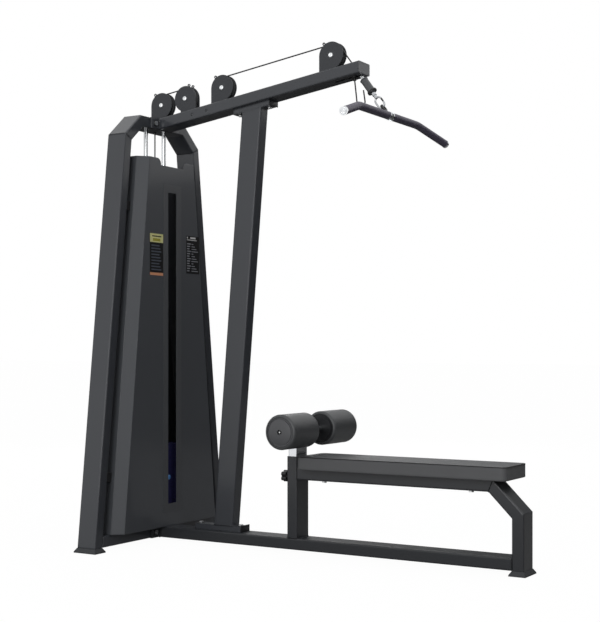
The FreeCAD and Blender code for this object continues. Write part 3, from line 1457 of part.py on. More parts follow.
def spring_hook():
    """Wire hook with a sprung gate, hung from a swivel under the cable stop."""
    item = doc.addObject("Sketcher::SketchObject", "hook_line")
    item.Placement = FreeCAD.Placement(FreeCAD.Vector(), FreeCAD.Rotation(X, Z, -Y, "ZXY"))
    width = value("hook_half_width")
    low, high = value("hook_bottom") + width, value("hook_top") - width

    def point(x, z):
        return FreeCAD.Vector(x, z, 0)
    item.addGeometry(Part.LineSegment(point(width, value("gate_top")), point(width, high)), False)
    item.addGeometry(Part.Arc(point(width, high), point(0, high + width), point(-width, high)), False)
    item.addGeometry(Part.LineSegment(point(-width, high), point(-width, low)), False)
    item.addGeometry(Part.Arc(point(-width, low), point(0, low - width), point(width, low)), False)
    item.addGeometry(Part.LineSegment(point(width, low), point(width, value("gate_bottom"))), False)
    doc.recompute()
    wire = sweep("hook_wire_loop", item, "hook_wire", FreeCAD.Vector(width, 0, value("gate_top")), Z)
    stem = doc.addObject("Part::Cylinder", "hook_stem")
    bind(stem, "Radius", "swivel_stem_radius")
    bind(stem, "Height", "hook_neck_length + swivel_height * 0.6")
    place(stem, "0", "0", "hook_top")
    neck = doc.addObject("Part::Cylinder", "hook_neck")
    bind(neck, "Radius", "swivel_radius * 0.8")
    bind(neck, "Height", "hook_neck_length + hook_wire / 2 - swivel_play")
    place(neck, "0", "0", "hook_top - hook_wire / 2")
    hook = doc.addObject("Part::MultiFuse", "spring_hook")
    hook.Label = "spring_hook"
    hook.Shapes = [wire, stem, neck]
    hang_on_cable(hook)

    gate = new_body("hook_gate")
    line = sketch(gate, "XY_Plane", "gate_bottom + 2 * gate_clearance")
    circle(line, "0", "0", "gate_radius")
    pad(gate, line, "gate_hinge - gate_bottom - 2 * gate_clearance", symmetric=False)
    knuckle = sketch(gate, "XZ_Plane")
    circle(knuckle, "0", "gate_hinge", "gate_radius")
    pad(gate, knuckle, "2 * gate_radius")
    place(gate, "tower_station + bar_reach + hook_half_width * cos(cable_lean)", "0",
          f"{BAR_HEIGHT} + hook_half_width * sin(cable_lean)", "-cable_lean")


def cable_end():
    """Swivel, rubber stop and crimped ferrule on the end of the pull cable."""
    swivel = new_body("swivel")
    bore = "(swivel_stem_radius + running_clearance)"
    roof = "swivel_bottom + swivel_height * 0.7"
    revolve(swivel, [("0", roof), (bore, roof), (bore, "swivel_bottom"),
                     ("swivel_radius", "swivel_bottom"), ("swivel_radius", "stop_bottom"),
                     ("0", "stop_bottom")], "XZ_Plane")
    hang_on_cable(swivel)
    stop = new_body("cable_stop")
    high = "stop_bottom + stop_length"
    revolve(stop, [("0", "stop_bottom"), ("stop_flange_radius", "stop_bottom"),
                   ("stop_flange_radius", "stop_bottom + stop_flange_height"),
                   ("stop_radius", "stop_bottom + stop_flange_height + 2"), ("stop_radius", f"{high} - 6"),
                   ("stop_radius + 1.5", f"{high} - 5"), ("stop_radius + 1.5", f"{high} - 1"),
                   ("stop_radius", high), ("0", high)], "XZ_Plane")
    hang_on_cable(stop)
    ferrule = new_body("cable_ferrule")
    low = f"({high})"
    revolve(ferrule, [("0", low), ("ferrule_radius + 2", low), ("ferrule_radius + 2", f"{low} + 6"),
                      ("ferrule_radius", f"{low} + 8"), ("ferrule_radius", f"{low} + ferrule_length - 2"),
                      ("ferrule_radius - 2", f"{low} + ferrule_length"), ("0", f"{low} + ferrule_length")],
            "XZ_Plane")
    hang_on_cable(ferrule)


def bar_rest():
    """Bent wire hook under the beam's front end, where the bar is hung up."""
    item = doc.addObject("Sketcher::SketchObject", "bar_rest_line")
    item.Placement = FreeCAD.Placement(FreeCAD.Vector(), FreeCAD.Rotation(X, Z, -Y, "ZXY"))
    station, radius, wire_radius = value("tower_station"), value("rest_bend_radius"), value("rest_wire")
    root = FreeCAD.Vector(station + value("rest_root_reach"), value(beam_under("rest_root_reach")), 0)
    rear = FreeCAD.Vector(station + value("rest_rear_reach"), root.y - value("rest_drop"), 0)
    down = (rear - root).normalize()
    lean = math.radians(value("rest_tip_lean"))
    up = FreeCAD.Vector(-math.sin(lean), math.cos(lean), 0)
    centre = rear + FreeCAD.Vector(-down.y, down.x, 0) * radius
    front = centre + FreeCAD.Vector(up.y, -up.x, 0) * radius
    lowest = centre + FreeCAD.Vector(0, -radius, 0)
    start = root + down * wire_radius
    item.addGeometry(Part.LineSegment(start, rear), False)
    item.addGeometry(Part.Arc(rear, lowest, front), False)
    item.addGeometry(Part.LineSegment(front, front + up * value("rest_tip_length")), False)
    doc.recompute()
    wire = sweep("bar_rest_wire", item, "rest_wire", FreeCAD.Vector(start.x, 0, start.y),
                 FreeCAD.Vector(down.x, 0, down.y))
    collars = []
    for radius, height in (("slot_width * 0.8", "rest_wire * 1.5"), ("rest_wire * 2.5", "rest_wire * 5")):
        collar = doc.addObject("Part::Cylinder", "bar_rest_collar")
        bind(collar, "Radius", radius)
        bind(collar, "Height", height)
        place(collar, f"tower_station + rest_root_reach + {height} * sin(beam_slope)", "0",
              f"{beam_under('rest_root_reach')} - {height} * cos(beam_slope)", "-beam_slope")
        collars.append(collar)
    rest = doc.addObject("Part::MultiFuse", "bar_rest")
    rest.Label = "bar_rest"
    rest.Shapes = [wire] + collars


# ---------------------------------------------------------------- build

def build():
    tower()
    foot_caps()
    base_tube()
    post()
    beam()
    frame_bolts()
    for name in PULLEYS:
        pulley_bracket(name)
        pulley_wheel(name)
    pulley_axles()
    guide_wheel("rear_guide_wheel", GUIDE_REACHES[0])
    guide_wheel("front_guide_wheel", GUIDE_REACHES[1])
    guide_rods()
    weight_plates("resting_plates_pile", "stack_bottom", "resting_plates")
    weight_plates("lifted_plates_pile", "stack_split", "lifted_plates")
    stack_head()
    selector_pin()
    cover("front_cover", 1)
    cover("rear_cover", -1)
    cover_trim()
    bench()
    seat()
    thigh_slider()
    roller("left_roller", LEFT)
    roller("right_roller", RIGHT)
    height_knob()
    pull_bar()
    spring_hook()
    cable_end()
    bar_rest()
    cables()
    doc.recompute()


NODES = [
    "tower_leg_left", "tower_leg_right", "tower_top", "tower_crossmember", "foot_caps", "base_tube", "post",
    "beam", "flange_bolts", "post_bolts", "stack_pulley_bracket", "rear_pulley_bracket",
    "middle_pulley_bracket", "front_pulley_bracket", "stack_pulley", "rear_pulley", "middle_pulley",
    "front_pulley", "pulley_axles", "rear_guide_wheel", "front_guide_wheel", "guide_rods",
    "stack_bumpers", "resting_plates_pile", "lifted_plates_pile", "top_plate", "plate_bushings",
    "selector_rod", "cable_stud", "selector_pin", "front_cover", "rear_cover", "slot_bezel", "label_plates",
    "cover_brackets", "bench_front_leg", "seat_rail", "bench_rear_leg", "seat_board", "seat_pad",
    "seat_bolts", "thigh_slider", "roller_bolts", "left_roller", "left_roller_caps", "right_roller",
    "right_roller_caps", "height_knob", "lat_bar", "bar_grips", "bar_fittings", "spring_hook", "hook_gate",
    "swivel", "cable_stop", "cable_ferrule", "bar_rest", "main_cable", "stack_cable", "bar_cable",
]


def write():
    """Check every object and every node's shape, then write one file for each node."""
    faults = [item.Label for item in doc.Objects if "Invalid" in item.State or "Error" in item.State]
    if faults:
        raise ValueError(f"these did not build: {faults}")
    os.makedirs("parts", exist_ok=True)
    for label in NODES:
        shape = doc.getObjectsByLabel(label)[0].Shape
        if shape.isNull() or not shape.isValid():
            raise ValueError(f"{label} has no valid shape")
        shape.exportStep(f"parts/{label}.step")
        print(f"{label}: {len(shape.Solids)} solids, {shape.Volume / 1000:.1f} cm3")


build()
write()
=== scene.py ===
"""The looks of the lat pulldown machine: powder-coated tube, folded covers, chrome, cable and vinyl.

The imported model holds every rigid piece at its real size. This script gives each of them its finish, adds
the small parts that sit on them, such as washers, weld beads, labels and stitching, and makes the soft and
turned pieces in full. Metres, +Z up, with the tower at -X and the bench towards +X.
"""
import json
import logging
import math
from dataclasses import dataclass
from enum import Enum
from typing import Iterable, Optional, Sequence

import bmesh
import bpy
from mathutils import Matrix, Vector
from mathutils.bvhtree import BVHTree
from mathutils.geometry import convex_hull_2d


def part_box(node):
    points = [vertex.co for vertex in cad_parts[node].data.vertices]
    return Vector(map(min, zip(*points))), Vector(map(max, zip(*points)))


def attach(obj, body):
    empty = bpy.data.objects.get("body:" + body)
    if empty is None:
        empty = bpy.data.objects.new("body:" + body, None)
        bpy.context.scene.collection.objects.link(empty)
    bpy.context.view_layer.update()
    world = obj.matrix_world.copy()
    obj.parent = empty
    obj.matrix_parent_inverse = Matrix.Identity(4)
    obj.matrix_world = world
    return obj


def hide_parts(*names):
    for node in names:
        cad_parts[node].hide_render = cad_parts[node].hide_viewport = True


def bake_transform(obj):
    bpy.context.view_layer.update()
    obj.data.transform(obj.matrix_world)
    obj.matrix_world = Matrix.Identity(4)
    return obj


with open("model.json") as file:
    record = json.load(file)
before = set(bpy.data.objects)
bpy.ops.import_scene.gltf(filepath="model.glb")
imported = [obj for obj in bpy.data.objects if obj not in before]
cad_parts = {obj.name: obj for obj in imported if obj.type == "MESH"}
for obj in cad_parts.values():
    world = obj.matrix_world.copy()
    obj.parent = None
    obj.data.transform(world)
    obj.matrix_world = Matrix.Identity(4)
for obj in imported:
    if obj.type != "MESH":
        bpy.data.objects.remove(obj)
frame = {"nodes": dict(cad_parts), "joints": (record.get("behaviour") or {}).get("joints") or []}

logging.basicConfig(level=logging.INFO, format="%(message)s")
LOG = logging.getLogger("lat_pulldown")

MM = 0.001
# Metres: points nearer than the first are the same, and points nearer than the second lie on the face.
SAME_POINT, ON_FACE = 1e-6, 1e-4
# Radians: an edge folded inwards by more than this is an inner corner.
INNER_FOLD = -0.6
# The faint clouds in a coat or a skin are about 110 mm across.
CLOUDS_PER_METRE = 9.0
Profile = Sequence[tuple[float, ...]]
Line = Sequence[Vector]
Pair = tuple[Vector, Vector]
Piece = bpy.types.Object
Tree = bpy.types.NodeTree
Socket = bpy.types.NodeSocket
UP, AHEAD, SIDEWAYS = Vector((0, 0, 1)), Vector((1, 0, 0)), Vector((0, 1, 0))
PULLEYS = ("stack", "rear", "middle", "front")
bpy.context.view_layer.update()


def linear(hex_colour: str) -> tuple[float, float, float, float]:
    """Turn an sRGB hex colour to linear values.

    Args:
        hex_colour: a hash and six hex digits.

    Returns:
        Linear red, green and blue, and full opacity.
    """
    parts = [int(hex_colour[step:step + 2], 16) / 255 for step in (1, 3, 5)]
    red, green, blue = (part / 12.92 if part <= 0.04045 else ((part + 0.055) / 1.055) ** 2.4
                        for part in parts)
    return red, green, blue, 1.0


def feed(node: bpy.types.Node, values: dict) -> None:
    """Set up a node.

    Args:
        node: a shader or geometry node.
        values: its attributes, and what its inputs are set to or fed by, by name or number.
    """
    for name, value in values.items():
        if isinstance(name, str) and hasattr(node, name):
            setattr(node, name, value)
        elif isinstance(value, Socket):
            node.id_data.links.new(value, node.inputs[name])
        else:
            node.inputs[name].default_value = value


def add(tree: Tree, kind: str, values: Optional[dict] = None, output: int | str = 0) -> Optional[Socket]:
    """Add a node to a tree.

    Args:
        tree: a shader or geometry tree.
        kind: the node's type name.
        values: what it is set up with.
        output: the output that is wanted.

    Returns:
        That output, or None where the node has none.
    """
    node = tree.nodes.new(kind)
    feed(node, values or {})
    return node.outputs[output] if node.outputs else None


def new_material(name: str, values: dict) -> tuple[bpy.types.Material, bpy.types.Node]:
    """Make a material.

    Args:
        name: its name.
        values: what its Principled shader is set up with.

    Returns:
        The material and that shader.
    """
    made = bpy.data.materials.new(name)
    made.use_nodes = True
    shader = made.node_tree.nodes["Principled BSDF"]
    feed(shader, values)
    return made, shader


# ---------------------------------------------------------------- finishes

class Grain(Enum):
    """What the surface of a finish shows close up.

    Drawing lines, thread and cast skin are finer than a render can show, so they are drawn coarser.
    """

    PEEL = "orange peel"
    HIDE = "pressed hide"
    PORES = "pores"
    DIAMOND = "diamond knurl"
    DRAWN = "drawn"
    CAST = "cast"


@dataclass(frozen=True)
class Finish:
    """One finish of the machine, from its common name to how its surface was made."""

    name: str
    colour: str
    roughness: float
    grain: Grain
    grain_mm: float
    depth_mm: float
    mottle: float = 0.0
    metallic: float = 0.0
    ior: float = 1.5
    coat: float = 0.0
    coat_roughness: float = 0.16
    soft_edge_mm: float = 0.0

    def material(self) -> bpy.types.Material:
        """The finish as a material, made once.

        Returns:
            The material, from the file if it is there already.
        """
        found = bpy.data.materials.get(self.name)
        if found:
            return found
        made, shader = new_material(self.name, {
            "Base Color": linear(self.colour), "Roughness": self.roughness, "Metallic": self.metallic,
            "IOR": self.ior, "Coat Weight": self.coat, "Coat Roughness": self.coat_roughness})
        tree = made.node_tree
        place = add(tree, "ShaderNodeTexCoord", output="Object")
        if self.mottle:
            cloud = add(tree, "ShaderNodeTexNoise", {
                "Scale": CLOUDS_PER_METRE, "Detail": 3.0, "Vector": place}, "Fac")
            ramp = add(tree, "ShaderNodeMapRange", {
                "To Min": 1 - self.mottle, "To Max": 1 + self.mottle, "Value": cloud})
            feed(shader, {"Base Color": add(tree, "ShaderNodeMix", {
                "data_type": "RGBA", "blend_type": "MULTIPLY", 0: 1.0, 6: linear(self.colour), 7: ramp}, 2)})
        bump = {"Strength": 1.0, "Distance": self.depth_mm * MM, "Height": self._height(tree, place)}
        if self.soft_edge_mm:
            bump["Normal"] = add(tree, "ShaderNodeBevel", {"samples": 4, "Radius": self.soft_edge_mm * MM})
        normal = add(tree, "ShaderNodeBump", bump)
        feed(shader, {"Normal": normal, "Coat Normal": normal})
        return made

    def _height(self, tree: Tree, place: Socket) -> Socket:
        """Height of the grain over the surface, from 0 to 1.

        Args:
            tree: the material's tree.
            place: the position that the pattern is read at.

        Returns:
            The output that gives the height.
        """
        scale = 1 / (self.grain_mm * MM)
        if self.grain in (Grain.HIDE, Grain.PORES):
            cells = add(tree, "ShaderNodeTexVoronoi", {
                "feature": "DISTANCE_TO_EDGE", "Scale": scale, "Vector": place}, "Distance")
            return add(tree, "ShaderNodeMapRange", {"From Max": 0.25, "Value": cells})
        if self.grain == Grain.DIAMOND:
            slants = [add(tree, "ShaderNodeMapping", {
                "Rotation": (math.radians(turn), 0, 0), "Vector": place}) for turn in (45, -45)]
            first, second = (add(tree, "ShaderNodeTexWave", {
                "bands_direction": "Y", "Scale": scale / 20, "Vector": slant}, "Fac") for slant in slants)
            return add(tree, "ShaderNodeMath", {"operation": "MULTIPLY", 0: first, 1: second})
        if self.grain == Grain.DRAWN:
            place = add(tree, "ShaderNodeMapping", {"Scale": (1, 1, 0.02), "Vector": place})
        detail = {Grain.CAST: 4.0, Grain.DRAWN: 2.0, Grain.PEEL: 1.5}[self.grain]
        return add(tree, "ShaderNodeTexNoise", {"Scale": scale, "Detail": detail, "Vector": place}, "Fac")


def film(tone: str, colour: str, roughness: float = 0.4, ior: float = 1.5) -> Finish:
    """A printed vinyl film of that tone, satin with a little print grain."""
    return Finish("label_film_" + tone, colour, roughness, Grain.CAST, 1.2, 0.01, ior=ior)


# Thick charcoal powder coat of the tower, post and beam: a soft broad sheen over a faint orange peel.
FRAME_COAT = Finish("charcoal_powder_coat", "#44474d", 0.42, Grain.PEEL, 2.2, 0.05, 0.05, ior=1.4, coat=0.5,
                    coat_roughness=0.1, soft_edge_mm=9.0)
# The same powder on the folded sheet covers, a little smoother and lighter.
COVER_COAT = Finish("cover_powder_coat", "#575a5f", 0.46, Grain.PEEL, 1.8, 0.04, 0.04, ior=1.4, coat=0.45,
                    coat_roughness=0.1, soft_edge_mm=7.0)
# Darker satin powder on the floor tube and the bench.
BENCH_COAT = Finish("black_powder_coat", "#383a3e", 0.42, Grain.PEEL, 2.2, 0.05, 0.05, ior=1.4, coat=0.4,
                    soft_edge_mm=5.0)
# Injection-moulded rubber feet: dull, with a fine cast skin.
FOOT_RUBBER = Finish("moulded_foot_rubber", "#4c4e51", 0.6, Grain.CAST, 1.5, 0.05, 0.05, ior=1.4)
# Painted cast weight plates: a dark satin with a blue tint.
PLATE_PAINT = Finish("painted_cast_plate", "#46447c", 0.5, Grain.CAST, 3.0, 0.15, 0.06)
# Hard chrome on the stack's rods, the bar's fittings and the stop's ring: mirror bright, faintly drawn.
CHROME = Finish("hard_chrome", "#e6e8ea", 0.1, Grain.DRAWN, 1.2, 0.004, metallic=1.0)
# Bright nickel on the spring hook and the swivel, a shade greyer than chrome.
NICKEL = Finish("bright_nickel", "#b6b8bb", 0.16, Grain.DRAWN, 1.0, 0.005, metallic=1.0)
# Ground steel flat under clear plating: bright on its edge and grey on its face.
PLATED_FLAT = Finish("plated_steel_flat", "#dfe1e4", 0.14, Grain.DRAWN, 0.9, 0.01, metallic=1.0)
# Zinc-plated fasteners: bright, with a soft blur.
ZINC = Finish("zinc_plated_steel", "#eceeef", 0.34, Grain.CAST, 1.5, 0.01, metallic=1.0)
# Blackened steel of the wire rest, the bar's middle, the gate, the washers and the stop's band.
BLACK_STEEL = Finish("blackened_steel", "#0e0e10", 0.36, Grain.CAST, 1.5, 0.02, ior=1.45)
# Glass-filled nylon wheels: dull black.
NYLON = Finish("moulded_nylon", "#252628", 0.5, Grain.CAST, 1.2, 0.03, ior=1.4)
# Laser-cut pulley plates under matte powder.
PULLEY_COAT = Finish("matte_pulley_coat", "#4b4d51", 0.5, Grain.PEEL, 1.8, 0.04, 0.05, ior=1.4,
                     soft_edge_mm=0.8)
# Nylon jacket drawn over the steel cable: black with a narrow gleam.
CABLE_JACKET = Finish("nylon_cable_jacket", "#1d1e20", 0.34, Grain.DRAWN, 1.5, 0.05)
# Grey rubber stop on the cable's end.
STOP_RUBBER = Finish("grey_stop_rubber", "#606265", 0.35, Grain.CAST, 1.0, 0.04)
# Pressed rubber sleeves on the bar, with a fine diamond pattern and a violet cast.
GRIP_RUBBER = Finish("diamond_grip_rubber", "#5c5769", 0.5, Grain.DIAMOND, 2.6, 0.3, 0.05)
# Dense closed-cell foam with a smooth moulded skin.
FOAM_SKIN = Finish("moulded_foam_skin", "#5a5c5e", 0.38, Grain.PORES, 2.6, 0.1, 0.05)
# Moulded ABS of the tube plugs, the knob and the bushings; the rollers' inner caps, the same plastic as the
# grey outer caps, take this dark ABS as painted shade.
ABS = Finish("moulded_abs", "#26272a", 0.45, Grain.CAST, 1.4, 0.02, 0.03)
# Polished grey ABS of the rollers' outer caps.
CAP_ABS = Finish("roller_cap_abs", "#626366", 0.36, Grain.CAST, 1.4, 0.02, 0.03)
# Upholstery vinyl pressed with a fine hide grain.
VINYL = Finish("upholstery_vinyl", "#737476", 0.48, Grain.HIDE, 1.7, 0.1, 0.05, ior=1.4)
# Piping of the seam: the same vinyl, coloured near black so that it also draws the shade along the seat's top
# edge: painted shade.
WELT = Finish("piping_vinyl", "#161617", 0.5, Grain.HIDE, 1.7, 0.05, ior=1.4)
# Twisted polyester thread of the seat cover's seam.
THREAD = Finish("upholstery_thread", "#55575a", 0.6, Grain.DRAWN, 0.8, 0.05)
# Phenolic-faced plywood under the pad.
PLYWOOD = Finish("faced_plywood", "#3a2d22", 0.6, Grain.DRAWN, 2.0, 0.08, 0.15)
# Slot surround of moulded plastic.
BEZEL = Finish("slot_surround_plastic", "#585a5e", 0.48, Grain.CAST, 1.6, 0.03, 0.03)
# Matte black ground film of both label places.
FILM_BLACK = film("black", "#0b0c0e", 0.6, 1.3)
# Pale yellow film of the chart's head.
FILM_YELLOW = film("yellow", "#fffcb0")
# Olive film of the plain field in that head.
FILM_OLIVE = film("olive", "#c2ba3c")
# Orange film of the chart's foot.
FILM_ORANGE = film("orange", "#ffb489")
# Dark grey film of the chart's rules.
FILM_GREY = film("grey", "#535a66")
# Pale grey film of the notice's rules.
FILM_PALE = film("pale_grey", "#9a9da3")
# White film of the notice's head.
FILM_WHITE = film("white", "#f2f2f2")
# Clear blue acetal of the selector pin's handle.
PIN_BLUE = Finish("blue_acetal", "#6aaeff", 0.18, Grain.CAST, 2.0, 0.02, coat=0.4)
# Painted shade: a near-black, dull finish put on open bores, the inside of sockets, the rollers' end bushes
# and the brackets inside the tower, standing for the shade that falls in them.
SHADOW = Finish("painted_shade_black", "#101012", 0.7, Grain.CAST, 1.5, 0.03)


# ---------------------------------------------------------------- making meshes

def linked(name: str, data: bpy.types.ID) -> Piece:
    """Make an object and link it to the scene.

    Args:
        name: its name.
        data: its mesh, lamp or camera.

    Returns:
        The object.
    """
    made = bpy.data.objects.new(name, data)
    bpy.context.scene.collection.objects.link(made)
    return made


def new_mesh(corners: Iterable[Vector], faces: Iterable[Sequence[int]], smooth_below: float = 35.0,
             name: str = "part") -> Piece:
    """A mesh object at the origin, with its faces turned outwards.

    Args:
        corners: the vertices, in metres.
        faces: the faces, as vertex numbers.
        smooth_below: faces meeting at less than this angle, in degrees, are shaded smooth.
        name: the piece's name, where it is no mere part of another.

    Returns:
        The new object.
    """
    mesh = bpy.data.meshes.new(name)
    mesh.from_pydata([tuple(corner) for corner in corners], [], [tuple(face) for face in faces])
    tidy(mesh, smooth_below)
    return linked(name, mesh)


def tidy(mesh: bpy.types.Mesh, smooth_below: float, bevel_mm: float = 0.0) -> None:
    """Merge doubles, turn the faces outwards and set which edges stay sharp.

    Args:
        mesh: the mesh.
        smooth_below: faces meeting at less than this angle, in degrees, are shaded smooth.
        bevel_mm: how much all edges are eased before that.
    """
    work = bmesh.new()
    work.from_mesh(mesh)
    if bevel_mm:
        bmesh.ops.bevel(work, geom=list(work.edges), offset=bevel_mm * MM, segments=2, profile=0.5,
                        affect="EDGES", clamp_overlap=True)
    bmesh.ops.remove_doubles(work, verts=work.verts, dist=SAME_POINT)
    bmesh.ops.recalc_face_normals(work, faces=work.faces)
    for face in work.faces:
        face.smooth = True
    for edge in work.edges:
        edge.smooth = len(edge.link_faces) == 2 and edge.calc_face_angle(0) < math.radians(smooth_below)
    work.to_mesh(mesh)
    work.free()


def skin(rows: int, steps: int, closed: bool = False, capped: bool = False) -> list[tuple[int, ...]]:
    """Faces from ring to ring of points.

    Args:
        rows: how many rings there are.
        steps: points in each ring.
        closed: whether the last ring is joined to the first.
        capped: whether the first and the last ring are faces as well.

    Returns:
        The faces, as vertex numbers.
    """
    faces: list[tuple[int, ...]] = []
    for row in range(rows if closed else rows - 1):
        here, there = row * steps, (row + 1) % rows * steps
        for step in range(steps):
            after = (step + 1) % steps
            faces.append((here + step, here + after, there + after, there + step))
    if capped:
        faces += [tuple(range(steps)), tuple(range((rows - 1) * steps, rows * steps))]
    return faces


def turned(profile: Profile, centre: Vector, axis: Vector, steps: int, finish: Optional[Finish] = None,
           name: str = "part") -> Piece:
    """A piece turned on a lathe.

    Args:
        profile: (radius, height) pairs in millimetres, with a third number where the row is a polygon of
            that many sides; the profile starts and ends at radius 0, or its last row is joined to its first.
        centre: where height 0 lies on the axis.
        axis: the direction in which height grows.
        steps: how many flats the circle has.
        finish: its finish.
        name: the piece's name.

    Returns:
        The closed piece.
    """
    turn = Matrix.Translation(centre) @ axis.to_track_quat("Z", "Y").to_matrix().to_4x4()
    corners = []
    for radius, height, *sides in profile:
        for step in range(steps):
            angle = 2 * math.pi * step / steps
            reach = radius
            if sides:
                half = math.pi / sides[0]
                reach *= math.cos(half) / math.cos(angle % (2 * half) - half)
            corners.append(turn @ (Vector((reach * math.cos(angle), reach * math.sin(angle), height)) * MM))
    closed = profile[0][0] > 0 or profile[-1][0] > 0
    piece = new_mesh(corners, skin(len(profile), steps, closed), name=name)
    return paint(piece, finish) if finish else piece


def box(low: Vector, high: Vector, finish: Finish, bevel_mm: float = 0.0) -> Piece:
    """A block between two corners.

    Args:
        low: the lowest corner, in metres.
        high: the highest corner, in metres.
        finish: its finish.
        bevel_mm: how much its edges are eased.

    Returns:
        The block.
    """
    corners = [Vector((x, y, z)) for x in (low.x, high.x) for y in (low.y, high.y) for z in (low.z, high.z)]
    piece = new_mesh(corners, [(0, 1, 3, 2), (4, 6, 7, 5), (0, 4, 5, 1), (2, 3, 7, 6), (0, 2, 6, 4),
                               (1, 5, 7, 3)])
    if bevel_mm:
        tidy(piece.data, 40, bevel_mm)
    return paint(piece, finish)


def joined(name: str, parts: Sequence[Piece]) -> Piece:
    """Several mesh objects made one.

    Args:
        name: the name of the result.
        parts: the objects; they are used up.

    Returns:
        The joined object.
    """
    work = bmesh.new()
    materials: list[bpy.types.Material] = []
    for part in parts:
        own = list(part.data.materials)
        materials += [material for material in own if material not in materials]
        before = len(work.faces)
        work.from_mesh(part.data)
        work.faces.ensure_lookup_table()
        for face in work.faces[before:]:
            face.material_index = materials.index(own[face.material_index])
        bpy.data.objects.remove(part)
    mesh = bpy.data.meshes.new(name)
    work.to_mesh(mesh)
    work.free()
    for material in materials:
        mesh.materials.append(material)
    return linked(name, mesh)


def rod(path: Line, radius_mm: float, steps: int, closed: bool = False, name: str = "part") -> Piece:
    """A round rod along a path.

    Args:
        path: points of its middle line.
        radius_mm: its radius.
        steps: how many flats its section has.
        closed: whether the path returns to its start; if not, both ends are capped.
        name: the piece's name.

    Returns:
        The rod.
    """
    count, corners, side = len(path), [], None
    for number, point in enumerate(path):
        before = path[number - 1] if number or closed else path[0]
        after = path[(number + 1) % count] if number < count - 1 or closed else path[-1]
        along = (after - before).normalized()
        side = side or along.orthogonal().normalized()
        side = (side - along * side.dot(along)).normalized()
        other = along.cross(side)
        for step in range(steps):
            angle = 2 * math.pi * step / steps
            corners.append(point + (side * math.cos(angle) + other * math.sin(angle)) * radius_mm * MM)
    return new_mesh(corners, skin(count, steps, closed, not closed), 50, name)


def paint(piece: Piece, finish: Finish) -> Piece:
    """Give a piece one finish all over.

    Args:
        piece: a mesh object.
        finish: its finish.

    Returns:
        The same piece.
    """
    piece.data.materials.clear()
    piece.data.materials.append(finish.material())
    return piece


def settle(piece: Piece, body: str, slot: str, *replaced: str) -> None:
    """Let a finished piece move with its body, hide the nodes it stands for and log its size.

    Args:
        piece: a finished mesh in its place.
        body: the body that carries it.
        slot: the material slot that its finish answers to; not used.
        replaced: nodes that it stands for.
    """
    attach(piece, body)
    if replaced:
        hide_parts(*replaced)
    LOG.info("%s on %s: %d faces", piece.name, body, len(piece.data.polygons))


def dress(finish: Finish, *nodes: str) -> None:
    """Give nodes of the model their finish."""
    for name in nodes:
        paint(frame["nodes"][name], finish)


# ---------------------------------------------------------------- reading the model

def span(node: str) -> tuple[Vector, Vector, Vector]:
    """Lowest corner, highest corner and middle of a node."""
    low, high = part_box(node)
    return low, high, (low + high) / 2


def sizes(low: Vector, high: Vector) -> tuple[Vector, float, float]:
    """Middle, radius and half length, in millimetres, of a round piece that lies along Y."""
    return (low + high) / 2, (high.z - low.z) / 2 / MM, (high.y - low.y) / 2 / MM


def outwards_from(middle: Vector) -> Vector:
    """The direction along Y that leads away from the machine's middle plane."""
    return Vector((0, 1 if middle.y > 0 else -1, 0))


def pull_line() -> Vector:
    """The direction in which the cable's end is pulled."""
    return Vector(next(item for item in frame["joints"] if item["name"] == "bar_pull")["axis"])


def mesh_of(node: str) -> bpy.types.Mesh:
    """The mesh of a node."""
    return frame["nodes"][node].data


def merged(node: str) -> bmesh.types.BMesh:
    """The mesh of a node with its doubled points made one.

    Args:
        node: name of the node.

    Returns:
        A copy of the mesh, to be freed after use.
    """
    work = bmesh.new()
    work.from_mesh(mesh_of(node))
    bmesh.ops.remove_doubles(work, verts=work.verts, dist=SAME_POINT)
    return work


def loose_parts(node: str) -> list[Pair]:
    """The lowest and highest corner of each separate piece of a node.

    Args:
        node: name of the node.

    Returns:
        The corners of each piece, sorted by place.
    """
    work = merged(node)
    waiting, found = set(work.verts), []
    while waiting:
        reached, edge = set(), [waiting.pop()]
        while edge:
            vertex = edge.pop()
            reached.add(vertex)
            new = {link.other_vert(vertex) for link in vertex.link_edges} & waiting
            waiting -= new
            edge += new
        found.append(tuple(Vector([pick(vertex.co[axis] for vertex in reached) for axis in range(3)])
                           for pick in (min, max)))
    work.free()
    return sorted(found, key=lambda corners: tuple(corners[0]))


def widest_face(node: str, low: Vector, high: Vector) -> Pair:
    """The widest flat face of one piece of a node.

    Args:
        node: name of the node.
        low: lowest corner of the piece.
        high: highest corner of the piece.

    Returns:
        The middle of the face and the direction it looks in.
    """
    areas: dict[tuple[int, ...], float] = {}
    sums: dict[tuple[int, ...], Vector] = {}
    for face in mesh_of(node).polygons:
        if all(low[axis] - 1e-5 <= face.center[axis] <= high[axis] + 1e-5 for axis in range(3)):
            key = tuple(round(value * 500) for value in (*face.normal, face.center.dot(face.normal) * 4))
            areas[key] = areas.get(key, 0.0) + face.area
            sums[key] = sums.get(key, Vector()) + face.center * face.area
    best = max(areas, key=areas.get)
    return sums[best] / areas[best], Vector(best[:3]).normalized()


def hull(vertices: Iterable[bpy.types.MeshVertex], axis: int) -> list[Vector]:
    """The outer corners of vertices that lie in one plane.

    Args:
        vertices: the vertices.
        axis: 0, 1 or 2, the axis most nearly square to the plane.

    Returns:
        The corners, in order.
    """
    points = [vertex.co.copy() for vertex in vertices]
    flat = [Vector([value for number, value in enumerate(point) if number != axis]) for point in points]
    return [points[number] for number in convex_hull_2d(flat)] if len(flat) > 2 else []


